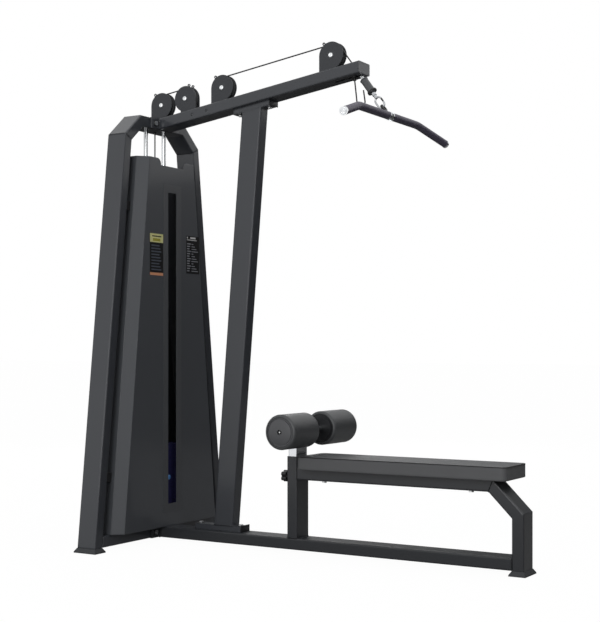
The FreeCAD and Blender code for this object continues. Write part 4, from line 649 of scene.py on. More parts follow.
def inner_corner(node: str, axis: int, level: float) -> list[Vector]:
    """The line along which one node's tube stands on its own plate.

    Args:
        node: name of the node.
        axis: 0, 1 or 2, the axis square to the plate.
        level: the plate's face along that axis, in metres.

    Returns:
        The line's corners, in order.
    """
    work = merged(node)
    found = hull((vertex for edge in work.edges
                  if len(edge.link_faces) == 2 and edge.calc_face_angle_signed(0) < INNER_FOLD
                  and all(abs(vertex.co[axis] - level) < ON_FACE for vertex in edge.verts)
                  for vertex in edge.verts), axis)
    work.free()
    return found


def end_line(node: str, axis: int, level: float) -> list[Vector]:
    """The outline, in order, of a node where it ends at a level along axis 0, 1 or 2."""
    return hull((vertex for vertex in mesh_of(node).vertices if abs(vertex.co[axis] - level) < ON_FACE), axis)


def contact_line(node: str, other: str, axis: int) -> list[Vector]:
    """The outline of the face in which two nodes meet.

    Args:
        node: name of one node.
        other: name of the node that it touches.
        axis: 0, 1 or 2, the axis most nearly square to the face.

    Returns:
        The outline's corners, in order.
    """
    own, theirs = ([(tuple(round(value / MM * 20) for value in vertex.co), vertex)
                    for vertex in mesh_of(name).vertices] for name in (node, other))
    shared = {key for key, _ in theirs}
    return hull((vertex for key, vertex in own if key in shared), axis)


# ---------------------------------------------------------------- geometry nodes

def baked(holder: Piece, name: str) -> Piece:
    """The result of an object's modifiers as a plain mesh object.

    Args:
        holder: an object with modifiers; it is used up.
        name: name of the result.

    Returns:
        The plain object.
    """
    bpy.context.view_layer.update()
    mesh = bpy.data.meshes.new_from_object(holder.evaluated_get(bpy.context.evaluated_depsgraph_get()))
    bpy.data.objects.remove(holder)
    return linked(name, mesh)


class Laying(Enum):
    """What copies are laid on, by the tree's named input that measures them."""

    POINTS = "Size"
    LINES = "Spacing"


@dataclass
class Copies:
    """A geometry tree that lays copies of one small part on points or along closed lines."""

    name: str
    part: Piece
    finish: Finish

    def on_points(self, places: Sequence[Pair]) -> Piece:
        """Set one copy of the part at each place.

        Args:
            places: where each copy sits, and the direction its own +Z turns to.

        Returns:
            The copies as one plain mesh. The part is used up.
        """
        mesh = bpy.data.meshes.new(self.name)
        mesh.from_pydata([tuple(spot) for spot, _ in places], [], [])
        axis = mesh.attributes.new("axis", "FLOAT_VECTOR", "POINT")
        axis.data.foreach_set("vector", [value for _, normal in places for value in normal])
        return self._laid(mesh, Laying.POINTS, 1.0)

    def on_lines(self, lines: Sequence[Line], spacing_mm: float) -> Piece:
        """Lay the part along closed lines, its own +X along each line.

        Args:
            lines: the corners of each line.
            spacing_mm: distance from one copy to the next.

        Returns:
            The copies as one plain mesh. The part is used up.
        """
        mesh = bpy.data.meshes.new(self.name)
        corners, edges = [], []
        for line in lines:
            first = len(corners)
            corners += [tuple(point) for point in line]
            edges += [(first + step, first + (step + 1) % len(line)) for step in range(len(line))]
        mesh.from_pydata(corners, edges, [])
        return self._laid(mesh, Laying.LINES, spacing_mm * MM)

    def _laid(self, places: bpy.types.Mesh, laying: Laying, value: float) -> Piece:
        """Run the tree over the places.

        Args:
            places: the points or lines.
            laying: whether the places are points or lines.
            value: the size of the copies on points, or the spacing of those along lines.

        Returns:
            The copies as one plain mesh.
        """
        holder = linked(self.name, places)
        tree = bpy.data.node_groups.new(self.name + "_tree", "GeometryNodeTree")
        tree.interface.new_socket("Geometry", in_out="INPUT", socket_type="NodeSocketGeometry")
        named = tree.interface.new_socket(laying.value, in_out="INPUT", socket_type="NodeSocketFloat")
        tree.interface.new_socket("Geometry", in_out="OUTPUT", socket_type="NodeSocketGeometry")
        given = tree.nodes.new("NodeGroupInput").outputs
        values = {"Points": given["Geometry"],
                  "Instance": add(tree, "GeometryNodeObjectInfo", {"Object": self.part}, "Geometry")}
        if laying == Laying.POINTS:
            values["Scale"] = given[laying.value]
            axis, heading = "Z", add(tree, "GeometryNodeInputNamedAttribute", {
                "data_type": "FLOAT_VECTOR", "Name": "axis"}, "Attribute")
        else:
            curve = add(tree, "GeometryNodeMeshToCurve", {"Mesh": given["Geometry"]})
            values["Points"] = add(tree, "GeometryNodeResampleCurve", {
                "mode": "LENGTH", "Curve": curve, "Length": given[laying.value]})
            axis, heading = "X", add(tree, "GeometryNodeInputTangent")
        values["Rotation"] = add(tree, "FunctionNodeAlignRotationToVector", {"axis": axis, "Vector": heading})
        copies = add(tree, "GeometryNodeInstanceOnPoints", values)
        real = add(tree, "GeometryNodeRealizeInstances", {"Geometry": copies})
        coloured = add(tree, "GeometryNodeSetMaterial", {
            "Material": self.finish.material(), "Geometry": real})
        add(tree, "NodeGroupOutput", {"Geometry": coloured})
        modifier = holder.modifiers.new("copies", "NODES")
        modifier.node_group = tree
        modifier[named.identifier] = value
        plain = baked(holder, self.name)
        bpy.data.objects.remove(self.part)
        return plain


def weld_beads(name: str, lines: Sequence[Line], radius_mm: float, finish: Finish, slot: str) -> None:
    """Overlapping ripples of weld along closed lines of the frame, under the same powder as the tube.

    Args:
        name: the piece's name.
        lines: the closed lines.
        radius_mm: half the width of the bead.
        finish: finish of the bead.
        slot: its material slot.
    """
    edge = radius_mm * 0.8
    ripple = turned([(0, -1), (edge, -0.55), (radius_mm, 0), (edge, 0.55), (0, 1)], Vector(), AHEAD, 8)
    lines = [line for line in lines if len(line) > 2]
    settle(Copies(name, ripple, finish).on_lines(lines, radius_mm * 0.75), "frame", slot)


# ---------------------------------------------------------------- sub-assemblies

@dataclass
class TowerFrame:
    """Bent tower tubes, floor tube, leaning post, overhead beam and what bolts them together."""

    bead_mm: float = 2.6
    plate_mm: float = 10.0
    post_bar_mm: float = 25.0
    post_bar_wall_mm: float = 3.0
    foot_bar_mm: float = 246.0
    head_bar_mm: float = 186.0
    plug_rim_mm: float = 2.4
    plug_depth_mm: float = 12.0
    washer_mm: float = 13.5
    washer_rise_mm: float = 1.8
    bolt_hole_mm: float = 5.5
    head_rise_mm: float = 7.0

    def build(self) -> None:
        """Dress the tubes and add their welds, washers and end plugs."""
        dress(FRAME_COAT, "tower_leg_left", "tower_leg_right", "tower_top", "tower_crossmember", "post",
              "beam")
        dress(BENCH_COAT, "base_tube")
        dress(FOOT_RUBBER, "foot_caps")
        dress(ZINC, "flange_bolts", "post_bolts")
        self._welds()
        self._washers()
        self._plugs()

    def _welds(self) -> None:
        """Weld beads where the tubes meet each other and their plates."""
        mitres = [contact_line("tower_top", leg, 2) for leg in ("tower_leg_left", "tower_leg_right")]
        weld_beads("mitre_welds", mitres, self.bead_mm * 0.5, FRAME_COAT, "frame_paint")
        tubes = [inner_corner(node, axis, span(node)[0][axis] + thick * MM)
                 for node, axis, thick in (("base_tube", 0, self.plate_mm), ("beam", 0, self.plate_mm),
                                           ("post", 2, self.post_bar_mm))]
        weld_beads("tube_welds", tubes, self.bead_mm, FRAME_COAT, "frame_paint")

    def _washers(self) -> None:
        """A washer under every bolt head of the flanges and of the post's bars."""
        hole, wide, rise = self.bolt_hole_mm, self.washer_mm, self.washer_rise_mm
        ring = turned([(hole, 0), (wide, 0), (wide, rise - 0.6), (wide - 0.6, rise), (hole, rise)],
                      Vector(), UP, 24)
        faces = [widest_face(node, *part) for node in ("flange_bolts", "post_bolts")
                 for part in loose_parts(node)]
        places = [(spot - out * self.head_rise_mm * MM, out) for spot, out in faces]
        settle(Copies("bolt_washers", ring, BLACK_STEEL).on_points(places), "frame", "bright_steel")

    def _plugs(self) -> None:
        """A moulded plug in each open end of the post's two bars: a rim and a block inside the tube."""
        low, high, _ = span("post")
        ends = [(low.x, -1), (low.x + self.foot_bar_mm * MM, 1), (high.x - self.head_bar_mm * MM, -1),
                (high.x, 1)]
        parts = []
        for level, out in ends:
            rim = end_line("post", 0, level)
            middle = sum(rim, Vector()) / len(rim)
            size = Vector((0, *(max(abs(point[axis] - middle[axis]) for point in rim) for axis in (1, 2))))
            for inset, start, end in ((0.6, 0.0, self.plug_rim_mm),
                                      (self.post_bar_wall_mm + 0.4, -self.plug_depth_mm, 0.0)):
                reach = size - Vector((0, inset, inset)) * MM
                near, far = sorted((middle.x + out * start * MM, middle.x + out * end * MM))
                parts.append(box(Vector((near, middle.y - reach.y, middle.z - reach.z)),
                                 Vector((far, middle.y + reach.y, middle.z + reach.z)), ABS, 1.0))
        settle(joined("post_plugs", parts), "frame", "cap_plastic")


@dataclass(frozen=True)
class Print:
    """One flat field printed on a label place, as shares of its width and height from its lower corner."""

    finish: Finish
    left: float
    right: float
    bottom: float
    top: float
    layer: int = 1


@dataclass
class Covers:
    """Folded sheet covers of the stack, the slot's surround and the two label places."""

    layer_mm: float = 0.12
    chart_rules: int = 9
    notice_rules: int = 12

    def build(self) -> None:
        """Dress the sheets and print plain fields on the label places."""
        dress(COVER_COAT, "front_cover", "rear_cover")
        # Painted shade: the brackets inside the tower are painted near black to stand for the shade between
        # the legs and the covers.
        dress(SHADOW, "cover_brackets")
        dress(BEZEL, "slot_bezel")
        dress(FILM_BLACK, "label_plates")
        chart, notice = loose_parts("label_plates")
        fields = [Print(FILM_YELLOW, 0.0, 1.0, 0.79, 1.0), Print(FILM_BLACK, 0.16, 0.86, 0.925, 0.95, 2),
                  Print(FILM_OLIVE, 0.22, 0.78, 0.82, 0.885, 2), Print(FILM_ORANGE, 0.0, 1.0, 0.0, 0.065)]
        for rule in range(self.chart_rules):
            bottom = 0.12 + 0.65 * rule / self.chart_rules
            fields.append(Print(FILM_GREY, 0.1, 0.86 - 0.07 * (rule % 3), bottom, bottom + 0.034))
        self._printed("chart_print", *chart, fields)
        fields = [Print(FILM_WHITE, 0.05, 0.12, 0.93, 0.975), Print(FILM_WHITE, 0.3, 0.72, 0.93, 0.975),
                  Print(FILM_WHITE, 0.04, 0.8, 0.885, 0.905)]
        for rule in range(self.notice_rules):
            bottom = 0.06 + 0.78 * rule / self.notice_rules
            fields += [Print(FILM_PALE, 0.06, 0.24 + 0.05 * (rule % 3), bottom, bottom + 0.03),
                       Print(FILM_PALE, 0.4, 0.9 - 0.12 * (rule % 4), bottom, bottom + 0.022)]
        self._printed("notice_print", *notice, fields)

    def _printed(self, name: str, low: Vector, high: Vector, fields: Sequence[Print]) -> None:
        """Lay thin fields of film on one label place.

        Args:
            name: the piece's name.
            low: lowest corner of the label place.
            high: highest corner of the label place.
            fields: what is printed.
        """
        size, parts = high - low, []
        for item in fields:
            start = Vector((high.x, low.y + size.y * item.left, low.z + size.z * item.bottom))
            end = Vector((high.x + self.layer_mm * item.layer * MM, low.y + size.y * item.right,
                          low.z + size.z * item.top))
            parts.append(box(start, end, item.finish))
        settle(joined(name, parts), "frame", "label_film")


@dataclass
class WeightStack:
    """Guide rods, plates and the selector pin."""

    handle_mm: float = 22.0
    shank_mm: float = 5.0
    point_mm: float = 4.0
    groove_mm: float = 1.2
    grooves: int = 4
    groove_pitch_mm: float = 3.4

    def build(self) -> None:
        """Dress the stack and make its pin."""
        dress(PLATE_PAINT, "resting_plates_pile", "lifted_plates_pile", "top_plate")
        dress(CHROME, "guide_rods", "selector_rod")
        dress(ABS, "plate_bushings")
        dress(FOOT_RUBBER, "stack_bumpers")
        dress(ZINC, "cable_stud")
        self._pin()

    def _pin(self) -> None:
        """The selector pin: a plated shank with a pointed end, and a waisted blue handle with rings."""
        low, high, middle = span("selector_pin")
        radius, length = (high.z - low.z) / 2 / MM, (high.x - low.x) / MM
        start = Vector((low.x, middle.y, middle.z))
        base, thick = length - self.handle_mm, self.shank_mm
        shank = turned([(0, 0), (thick * 0.5, 0), (thick, self.point_mm), (thick, base + 1), (0, base + 1)],
                       start, AHEAD, 24, ZINC)
        waist = radius * 0.8
        profile = [(0, base), (radius * 0.72, base), (waist, base + 1.5)]
        for ring in range(self.grooves):
            rise, deep = base + 3 + ring * self.groove_pitch_mm, waist - self.groove_mm
            profile += [(waist, rise), (deep, rise + 0.8), (deep, rise + 1.6), (waist, rise + 2.4)]
        profile += [(radius, base + 17.5), (radius, base + 20.5), (radius * 0.86, length - 0.4), (0, length)]
        grip = turned(profile, start, AHEAD, 32, PIN_BLUE)
        settle(joined("selector_pin_dressed", [shank, grip]), "pin", "pin_blue", "selector_pin")


@dataclass
class CableRig:
    """The four pulleys on their plates, their axle bolts and the cable that runs over them."""

    head_mm: float = 11.0
    head_rise_mm: float = 7.0
    socket_mm: float = 5.8
    axle_mm: float = 6.0
    pin_mm: float = 5.0
    cable_steps: int = 72

    def build(self) -> None:
        """Dress pulleys and plates, and make the bolts and the stretches of cable that change length."""
        dress(PULLEY_COAT, *(f"{name}_pulley_bracket" for name in PULLEYS))
        dress(NYLON, *(f"{name}_pulley" for name in PULLEYS), "rear_guide_wheel", "front_guide_wheel")
        dress(CABLE_JACKET, "main_cable")
        dress(ZINC, "cable_ferrule")
        self._axles()
        low, high, middle = span("stack_cable")
        self._stretch("stack_cable", Vector((middle.x, middle.y, high.z)),
                      Vector((middle.x, middle.y, low.z)), (high.x - low.x) / 2, "stack")
        low, high, middle = span("bar_cable")
        radius, along = (high.y - low.y) / 2, pull_line()
        inset = Vector((-along.z * radius, 0, -along.x * radius))
        self._stretch("bar_cable", Vector((low.x, middle.y, high.z)) + inset,
                      Vector((high.x, middle.y, low.z)) - inset, radius, "cable_end")

    def _stretch(self, node: str, fixed: Vector, moving: Vector, radius: float, body: str) -> None:
        """A stretch of cable that pays out between the frame and a moving body.

        Args:
            node: the node that it stands for.
            fixed: its end at the pulley.
            moving: its end at the body.
            radius: radius of the cable, in metres.
            body: the moving body.
        """
        path = [fixed.lerp(moving, step / self.cable_steps) for step in range(self.cable_steps + 1)]
        cable = paint(rod(path, radius / MM, 16, name=node + "_run"), CABLE_JACKET)
        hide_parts(node)
        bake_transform(cable)
        LOG.info("%s between frame and %s: %d faces", cable.name, body, len(cable.data.polygons))

    def _axles(self) -> None:
        """Round-headed socket bolts through the pulleys, and flush pins through the beam."""
        bolts, shanks, axle, pin = [], [], self.axle_mm, self.pin_mm
        for low, high in loose_parts("pulley_axles"):
            middle, end = (low + high) / 2, (high.y - low.y) / 2 / MM
            if (high.x - low.x) / 2 > (axle + self.head_mm) / 2 * MM:
                end -= self.head_rise_mm
                bolts += [(middle + Vector((0, side * end * MM, 0)), Vector((0, side, 0)))
                          for side in (-1, 1)]
                profile, finish = [(0, -end), (axle, -end), (axle, end), (0, end)], ZINC
            else:
                profile, finish = [(0, -end), (pin - 1, -end), (pin, 1 - end), (pin, end - 1), (pin - 1, end),
                                   (0, end)], FRAME_COAT
            shanks.append(turned(profile, middle, SIDEWAYS, 24, finish))
        wide, top, socket = self.head_mm, self.head_rise_mm, self.socket_mm
        head = turned([(0, 0), (wide, 0), (wide, top * 0.35), (wide * 0.93, top * 0.7),
                       (wide * 0.76, top * 0.92), (socket + 0.9, top), (socket, top - 0.5, 6),
                       (socket, top - 4, 6), (0, top - 4.6)], Vector(), UP, 24)
        heads = Copies("axle_heads", head, ZINC).on_points(bolts)
        self._paint_socket_shade(heads, bolts)
        settle(joined("pulley_bolts", [heads, *shanks]), "frame", "bright_steel", "pulley_axles")

    def _paint_socket_shade(self, heads: Piece, bolts: Sequence[Pair]) -> None:
        """Paint the inside of each socket with the near-black finish that stands for the shade in open bores:
        painted shade.

        Args:
            heads: the heads as one mesh.
            bolts: where each head sits and where it points.
        """
        heads.data.materials.append(SHADOW.material())
        for face in heads.data.polygons:
            spot, normal = min(bolts, key=lambda bolt: (bolt[0] - face.center).length)
            rise = (face.center - spot).dot(normal)
            across = (face.center - spot - normal * rise).length
            if MM < rise < (self.head_rise_mm - 0.6) * MM and across < self.socket_mm * 1.01 * MM:
                face.material_index = 1


@dataclass
class PullBar:
    """The cable's stop, swivel and hook, and the bar with its sleeves, rings and end caps."""

    stop_mm: float = 70.0
    flange_mm: float = 20.0
    flange_rise_mm: float = 7.0
    cap_ring_mm: float = 10.5
    cap_from_middle: float = 0.1

    def build(self) -> None:
        """Dress the bar and add the stop's rings and the end caps' faces."""
        dress(CHROME, "bar_fittings")
        dress(NICKEL, "spring_hook", "swivel")
        dress(BLACK_STEEL, "bar_rest", "lat_bar", "hook_gate")
        dress(GRIP_RUBBER, "bar_grips")
        dress(STOP_RUBBER, "cable_stop")
        self._stop_rings()
        self._cap_faces()

    def _stop_rings(self) -> None:
        """A bright ring on top of the stop and a dark band round its lower flange."""
        middle, down, half = span("cable_stop")[2], pull_line(), self.stop_mm / 2
        wide, rise = self.flange_mm, half - self.flange_rise_mm
        band = turned([(wide - 3, rise + 0.2), (wide + 0.4, rise + 0.2), (wide + 0.9, rise + 1.4),
                       (wide + 0.9, half - 1.4), (wide + 0.4, half - 0.2), (wide - 3, half - 0.2)],
                      middle, down, 48, BLACK_STEEL)
        ring = turned([(9, -half - 0.4), (15.2, -half - 0.4), (16.2, -half + 0.8), (16.4, -half + 2.6),
                       (15.4, -half + 3.2), (9, -half + 3.2)], middle, down, 48, CHROME)
        settle(joined("stop_trim", [band, ring]), "cable_end", "stop_rubber")

    def _cap_faces(self) -> None:
        """A turned face with a ring groove on each end cap."""
        parts, ring = [], self.cap_ring_mm
        for low, high in loose_parts("bar_fittings"):
            if max(abs(low.y), abs(high.y)) < self.cap_from_middle:
                continue
            middle = (low + high) / 2
            along, reach = self._cap_end(1 if low.y > 0 else -1, middle)
            profile = [(0, -1), (ring + 2.5, -1), (ring + 2.5, 0.4), (ring + 1.6, 1.2), (ring, 1.2),
                       (ring - 0.8, 0.2), (ring - 2.2, 0.2), (ring - 3.2, 1.3), (ring - 6.5, 1.6), (0, 1.7)]
            profile = [(radius, reach + rise) for radius, rise in profile]
            parts.append(turned(profile, middle, along, 40, CHROME))
        settle(joined("cap_faces", parts), "pull_bar", "chrome")

    def _cap_end(self, side: int, middle: Vector) -> tuple[Vector, float]:
        """Where the end cap's flat outer face lies.

        Args:
            side: 1 for the end towards +Y and -1 for the other.
            middle: middle of the cap.

        Returns:
            The face's normal, and its distance from the middle in millimetres.
        """
        best, area = Vector((0, side, 0)), 0.0
        totals: dict[tuple[int, ...], float] = {}
        for face in mesh_of("bar_fittings").polygons:
            if face.center.y * side > abs(middle.y) and face.normal.y * side > 0.5:
                key = tuple(round(value * 1000) for value in face.normal)
                totals[key] = totals.get(key, 0.0) + face.area
                if totals[key] > area:
                    best, area = face.normal.copy(), totals[key]
        return best, max((vertex.co - middle).dot(best) for vertex in mesh_of("bar_fittings").vertices
                         if vertex.co.y * side > self.cap_from_middle) / MM


@dataclass
class Bench:
    """The padded seat on its board and rail, with its seam, staples and bolts."""

    corner_mm: float = 24.0
    edge_mm: float = 5.0
    edge_turns: tuple[int, ...] = (0, 30, 60, 90)
    wall_rings: int = 5
    top_shares: tuple[float, ...] = (0.11, 0.2, 0.32, 0.46, 0.62, 0.78, 0.9)
    under_shares: tuple[float, ...] = (0.8, 0.45, 0.2)
    relief_mm: float = 0.7
    crown_mm: float = 3.0
    sides_in_mm: float = 1.2
    arc_steps: int = 8
    long_steps: int = 64
    short_steps: int = 18
    cloth_frames: int = 20
    cloth_pressure: float = 4.0
    welt_mm: float = 1.8
    welt_drop_mm: float = 5.5
    stitch_drop_mm: float = 9.7
    stitch_mm: float = 5.2
    seam_step_mm: float = 12.0
    seam_out_mm: float = 4.0
    seam_aim_mm: float = 60.0
    seam_back: float = 0.2
    seam_lift_mm: float = 0.2
    staple_inset_mm: float = 12.0
    staple_pitch_mm: float = 26.0
    bead_mm: float = 2.6

    def build(self) -> None:
        """Dress the legs and rail, and make the seat."""
        dress(BENCH_COAT, "bench_front_leg", "seat_rail", "bench_rear_leg")
        dress(PLYWOOD, "seat_board")
        dress(ZINC, "seat_bolts")
        base = span("base_tube")[1]
        lines = [end_line("seat_rail", 0, span("seat_rail")[0].x),
                 contact_line("seat_rail", "bench_rear_leg", 0),
                 end_line("bench_front_leg", 2, base.z), end_line("base_tube", 0, base.x)]
        weld_beads("bench_welds", lines, self.bead_mm, BENCH_COAT, "bench_paint")
        self._seat()
        self._staples()

    def _outline(self, height: float, inset_mm: float) -> list[Vector]:
        """The seat's plan with round corners, in even steps along its sides.

        Args:
            height: level of the line, in metres.
            inset_mm: how far it lies inside the seat's edge.

        Returns:
            The points of the line, in order.
        """
        low, high, middle = span("seat_pad")
        inset = inset_mm * MM
        radius = max(self.corner_mm * MM - inset, 2 * MM)
        half = (high - low) / 2 - Vector((inset + radius, inset + radius, 0))
        points = []
        for start, (x, y) in ((0, (1, 1)), (90, (-1, 1)), (180, (-1, -1)), (270, (1, -1))):
            centre = Vector((middle.x + x * half.x, middle.y + y * half.y, height))
            for step in range(self.arc_steps + 1):
                angle = math.radians(start + 90 * step / self.arc_steps)
                points.append(centre + Vector((math.cos(angle), math.sin(angle), 0)) * radius)
            run = Vector((-2 * x * half.x, 0, 0)) if x == y else Vector((0, -2 * y * half.y, 0))
            steps = self.long_steps if x == y else self.short_steps
            points += [points[-1] + run * step / steps for step in range(1, steps)]
        return points

    def _seat(self) -> None:
        """The seat: a foam slab whose cover is drawn tight, with a seam round its top."""
        low, high, _ = span("seat_pad")
        edge, thick, half = self.edge_mm, (high.z - low.z) / MM, (high.y - low.y) / 2 / MM
        rings = [(edge * (1 - math.sin(math.radians(turn))), edge * (1 - math.cos(math.radians(turn))))
                 for turn in self.edge_turns]
        levels = [(half * share, 0.0) for share in self.under_shares] + rings
        levels += [(0.0, edge + (thick - 2 * edge) * ring / self.wall_rings)
                   for ring in range(1, self.wall_rings)]
        levels += [(inset, thick - drop) for inset, drop in reversed(rings)]
        levels += [(half * share, thick) for share in self.top_shares]
        corners = [corner for inset, rise in levels for corner in self._outline(low.z + rise * MM, inset)]
        faces = skin(len(levels), len(corners) // len(levels), capped=True)
        pad = new_mesh(corners, faces, 180, "seat_cushion")
        rest = [vertex.co.copy() for vertex in pad.data.vertices]
        pad = self._swollen(pad, low.z)
        self._shaped(pad, rest)
        for face in pad.data.polygons:
            face.use_smooth = True
        settle(paint(pad, VINYL), "frame", "vinyl", "seat_pad")
        self._seam(pad)

    def _swollen(self, pad: Piece, floor: float) -> Piece:
        """The cover blown out against its foam by a short cloth simulation.

        Args:
            pad: the slab before.
            floor: level of its underside, which is glued to the board.

        Returns:
            The slab after.
        """
        held = pad.vertex_groups.new(name="glued")
        held.add([vertex.index for vertex in pad.data.vertices if vertex.co.z < floor + self.edge_mm * MM],
                 1.0, "REPLACE")
        cloth = pad.modifiers.new("cover", "CLOTH")
        cloth.settings.use_pressure = True
        cloth.settings.uniform_pressure_force = self.cloth_pressure
        cloth.settings.vertex_group_mass = "glued"
        cloth.settings.effector_weights.gravity = 0
        cloth.point_cache.frame_end = self.cloth_frames
        for step in range(1, self.cloth_frames + 1):
            bpy.context.scene.frame_set(step)
        return baked(pad, "seat_cushion")

    def _shaped(self, pad: Piece, rest: Line) -> None:
        """Keep only a little of how far the cover moved, crown the top and draw the long sides in.

        Args:
            pad: the cushion.
            rest: its points before the cover swelled.
        """
        low, high, middle = span("seat_pad")
        size, limit = high - low, self.relief_mm * MM
        for vertex, start in zip(pad.data.vertices, rest):
            shift = vertex.co - start
            if shift.length > limit:
                shift *= limit / shift.length
            spot = start + shift
            across = min(1.0, abs(spot.y - middle.y) / (size.y / 2))
            along = min(1.0, abs(spot.x - middle.x) / (size.x / 2))
            rise = max(0.0, (spot.z - low.z) / size.z)
            spot.z += rise * self.crown_mm * MM * ((1 - across ** 4) * (1 - along ** 8) - 1)
            spot.y -= (spot.y - middle.y) / (size.y / 2) * self.sides_in_mm * MM * (1 - along ** 2)
            spot.z = min(max(spot.z, low.z), high.z)
            vertex.co = spot

    def _seam(self, pad: Piece) -> None:
        """A welt laid on the finished cushion round its top edge, with a row of stitches under it.

        Args:
            pad: the finished cushion.
        """
        low, high, _ = span("seat_pad")
        tree = BVHTree.FromObject(pad, bpy.context.evaluated_depsgraph_get())
        lines, aim = [], self.seam_aim_mm * MM
        for drop in (self.welt_drop_mm, self.stitch_drop_mm):
            line, outline = [], self._outline(high.z - drop * MM, -self.seam_out_mm)
            for corner, after in zip(outline, [*outline[1:], outline[0]]):
                steps = max(1, round((after - corner).length / (self.seam_step_mm * MM)))
                for step in range(steps):
                    spot = corner.lerp(after, step / steps)
                    inward = Vector((min(max(spot.x, low.x + aim), high.x - aim), 0, spot.z)) - spot
                    hit, normal, _, _ = tree.ray_cast(spot - inward * self.seam_back, inward.normalized())
                    if hit:
                        line.append(hit + normal * self.seam_lift_mm * MM)
            lines.append(line)
        welt = rod(lines[0], self.welt_mm, 10, True, "seat_welt")
        # Painted shade: the near-black welt draws the dark line of shade along the seat's top edge.
        settle(paint(welt, WELT), "frame", "vinyl")
        thread = turned([(0, -1.9), (0.45, -1.5), (0.55, 0), (0.45, 1.5), (0, 1.9)], Vector(), AHEAD, 6)
        stitches = Copies("seat_stitches", thread, THREAD).on_lines([lines[1]], self.stitch_mm)
        settle(stitches, "frame", "vinyl")

    def _staples(self) -> None:
        """Staples that hold the cover's hem to the underside of the board."""
        low, high, _ = span("seat_board")
        wire = rod([AHEAD * -5 * MM, AHEAD * 5 * MM], 0.55, 6)
        inset = self.staple_inset_mm * MM
        left, right, near, far = low.x + inset, high.x - inset, low.y + inset, high.y - inset
        line = [Vector((x, y, low.z)) for x, y in ((left, near), (right, near), (right, far), (left, far))]
        staples = Copies("seat_staples", wire, ZINC).on_lines([line], self.staple_pitch_mm)
        settle(staples, "frame", "bright_steel")


class Side(Enum):
    """Which of the two rollers."""

    LEFT = "left"
    RIGHT = "right"


@dataclass
class ThighRollers:
    """Two foam rollers with domed end caps, their plated upright and its clamp knob."""

    edge_mm: float = 11.0
    barrel_mm: float = 1.6
    bore_mm: float = 16.0
    lip_mm: float = 2.0
    seat_mm: float = 6.0
    gap_mm: float = 2.6
    dome_mm: float = 9.0
    hole_mm: float = 8.6

    def build(self) -> None:
        """Dress the upright and make the rollers."""
        dress(PLATED_FLAT, "thigh_slider")
        dress(ABS, "height_knob")
        for side in Side:
            self._foam(side)
            self._caps(side)
        self._bolt_heads()

    def _foam(self, side: Side) -> None:
        """One foam sleeve: round edges, a faint barrel and a seat for each cap.

        Args:
            side: which roller.
        """
        node = side.value + "_roller"
        middle, radius, half = sizes(*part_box(node))
        edge, deep = self.edge_mm, half - self.seat_mm
        gap = (span(node + "_caps")[1].z - middle.z) / MM + self.gap_mm
        mouth = [(self.bore_mm, deep), (gap, deep), (gap, half - self.lip_mm), (gap + 0.8, half)]
        for angle in (math.radians(turn) for turn in range(0, 105, 15)):
            mouth.append((radius - edge + edge * math.sin(angle), half - edge + edge * math.cos(angle)))
        run = [(radius - self.barrel_mm * (share / 4) ** 2 * 0.4, (half - edge) * share / 4)
               for share in (3, 2, 1, 0, -1, -2, -3)]
        profile = [*mouth, *run, *((reach, -rise) for reach, rise in reversed(mouth))]
        sleeve = turned(profile, middle, SIDEWAYS, 72, FOAM_SKIN, side.value + "_foam_sleeve")
        settle(sleeve, "roller_" + side.value, "foam", node)

    def _caps(self, side: Side) -> None:
        """Both caps of one roller: a domed disc with a groove and a hole for the bolt; the inner cap is
        painted dark as shade.

        Args:
            side: which roller.
        """
        node, parts, hole = side.value + "_roller", [], self.hole_mm
        for low, high in loose_parts(node + "_caps"):
            middle, radius, half = sizes(low, high)
            inner = abs(middle.y) < abs(span(node)[2].y)
            away, dome, finish = outwards_from(middle), self.dome_mm, CAP_ABS
            # Painted shade: the inner caps face each other in shade, so they take the dark ABS instead of the
            # grey.
            if inner:
                away, dome, finish = -away, -dome, ABS
            rim, disc = half - 0.4, radius - 8.0
            profile = [(hole, -half), (radius, -half), (radius, rim - 1.4), (radius - 1.2, rim),
                       (radius - 3.2, rim), (radius - 4.2, rim - 2.6), (radius - 7.0, rim - 2.6),
                       (disc, rim + 0.2)]
            profile += [(hole + (disc - hole) * share, rim + 0.2 + dome * 0.55 * (1 - share ** 2))
                        for share in (0.75, 0.5, 0.25)]
            profile += [(hole + 2.6, rim + 0.2 + dome * 0.56), (hole, rim - 1.0)]
            parts.append(turned(profile, middle, away, 72, finish))
        settle(joined(side.value + "_domed_caps", parts), "roller_" + side.value, "cap_plastic",
               node + "_caps")

    def _bolt_heads(self) -> None:
        """The axle's end bolts: a bush painted near black as shade, with a small bright screw sunk in it."""
        parts = []
        for low, high in loose_parts("roller_bolts"):
            middle, radius, half = sizes(low, high)
            bush = [(3.8, -half), (radius, -half), (radius, half - 1.2), (radius - 1, half), (5.2, half),
                    (3.8, half - 2.4)]
            screw = [(0, -half), (3.8, -half), (3.8, half - 2), (2.8, half - 0.9), (0, half - 0.5)]
            # Painted shade: the bush takes the near-black finish, standing for the shade of the hole round
            # the screw.
            parts += [turned(bush, middle, outwards_from(middle), 32, SHADOW),
                      turned(screw, middle, outwards_from(middle), 24, ZINC)]
        settle(joined("roller_bolt_heads", parts), "thigh_support", "chrome", "roller_bolts")


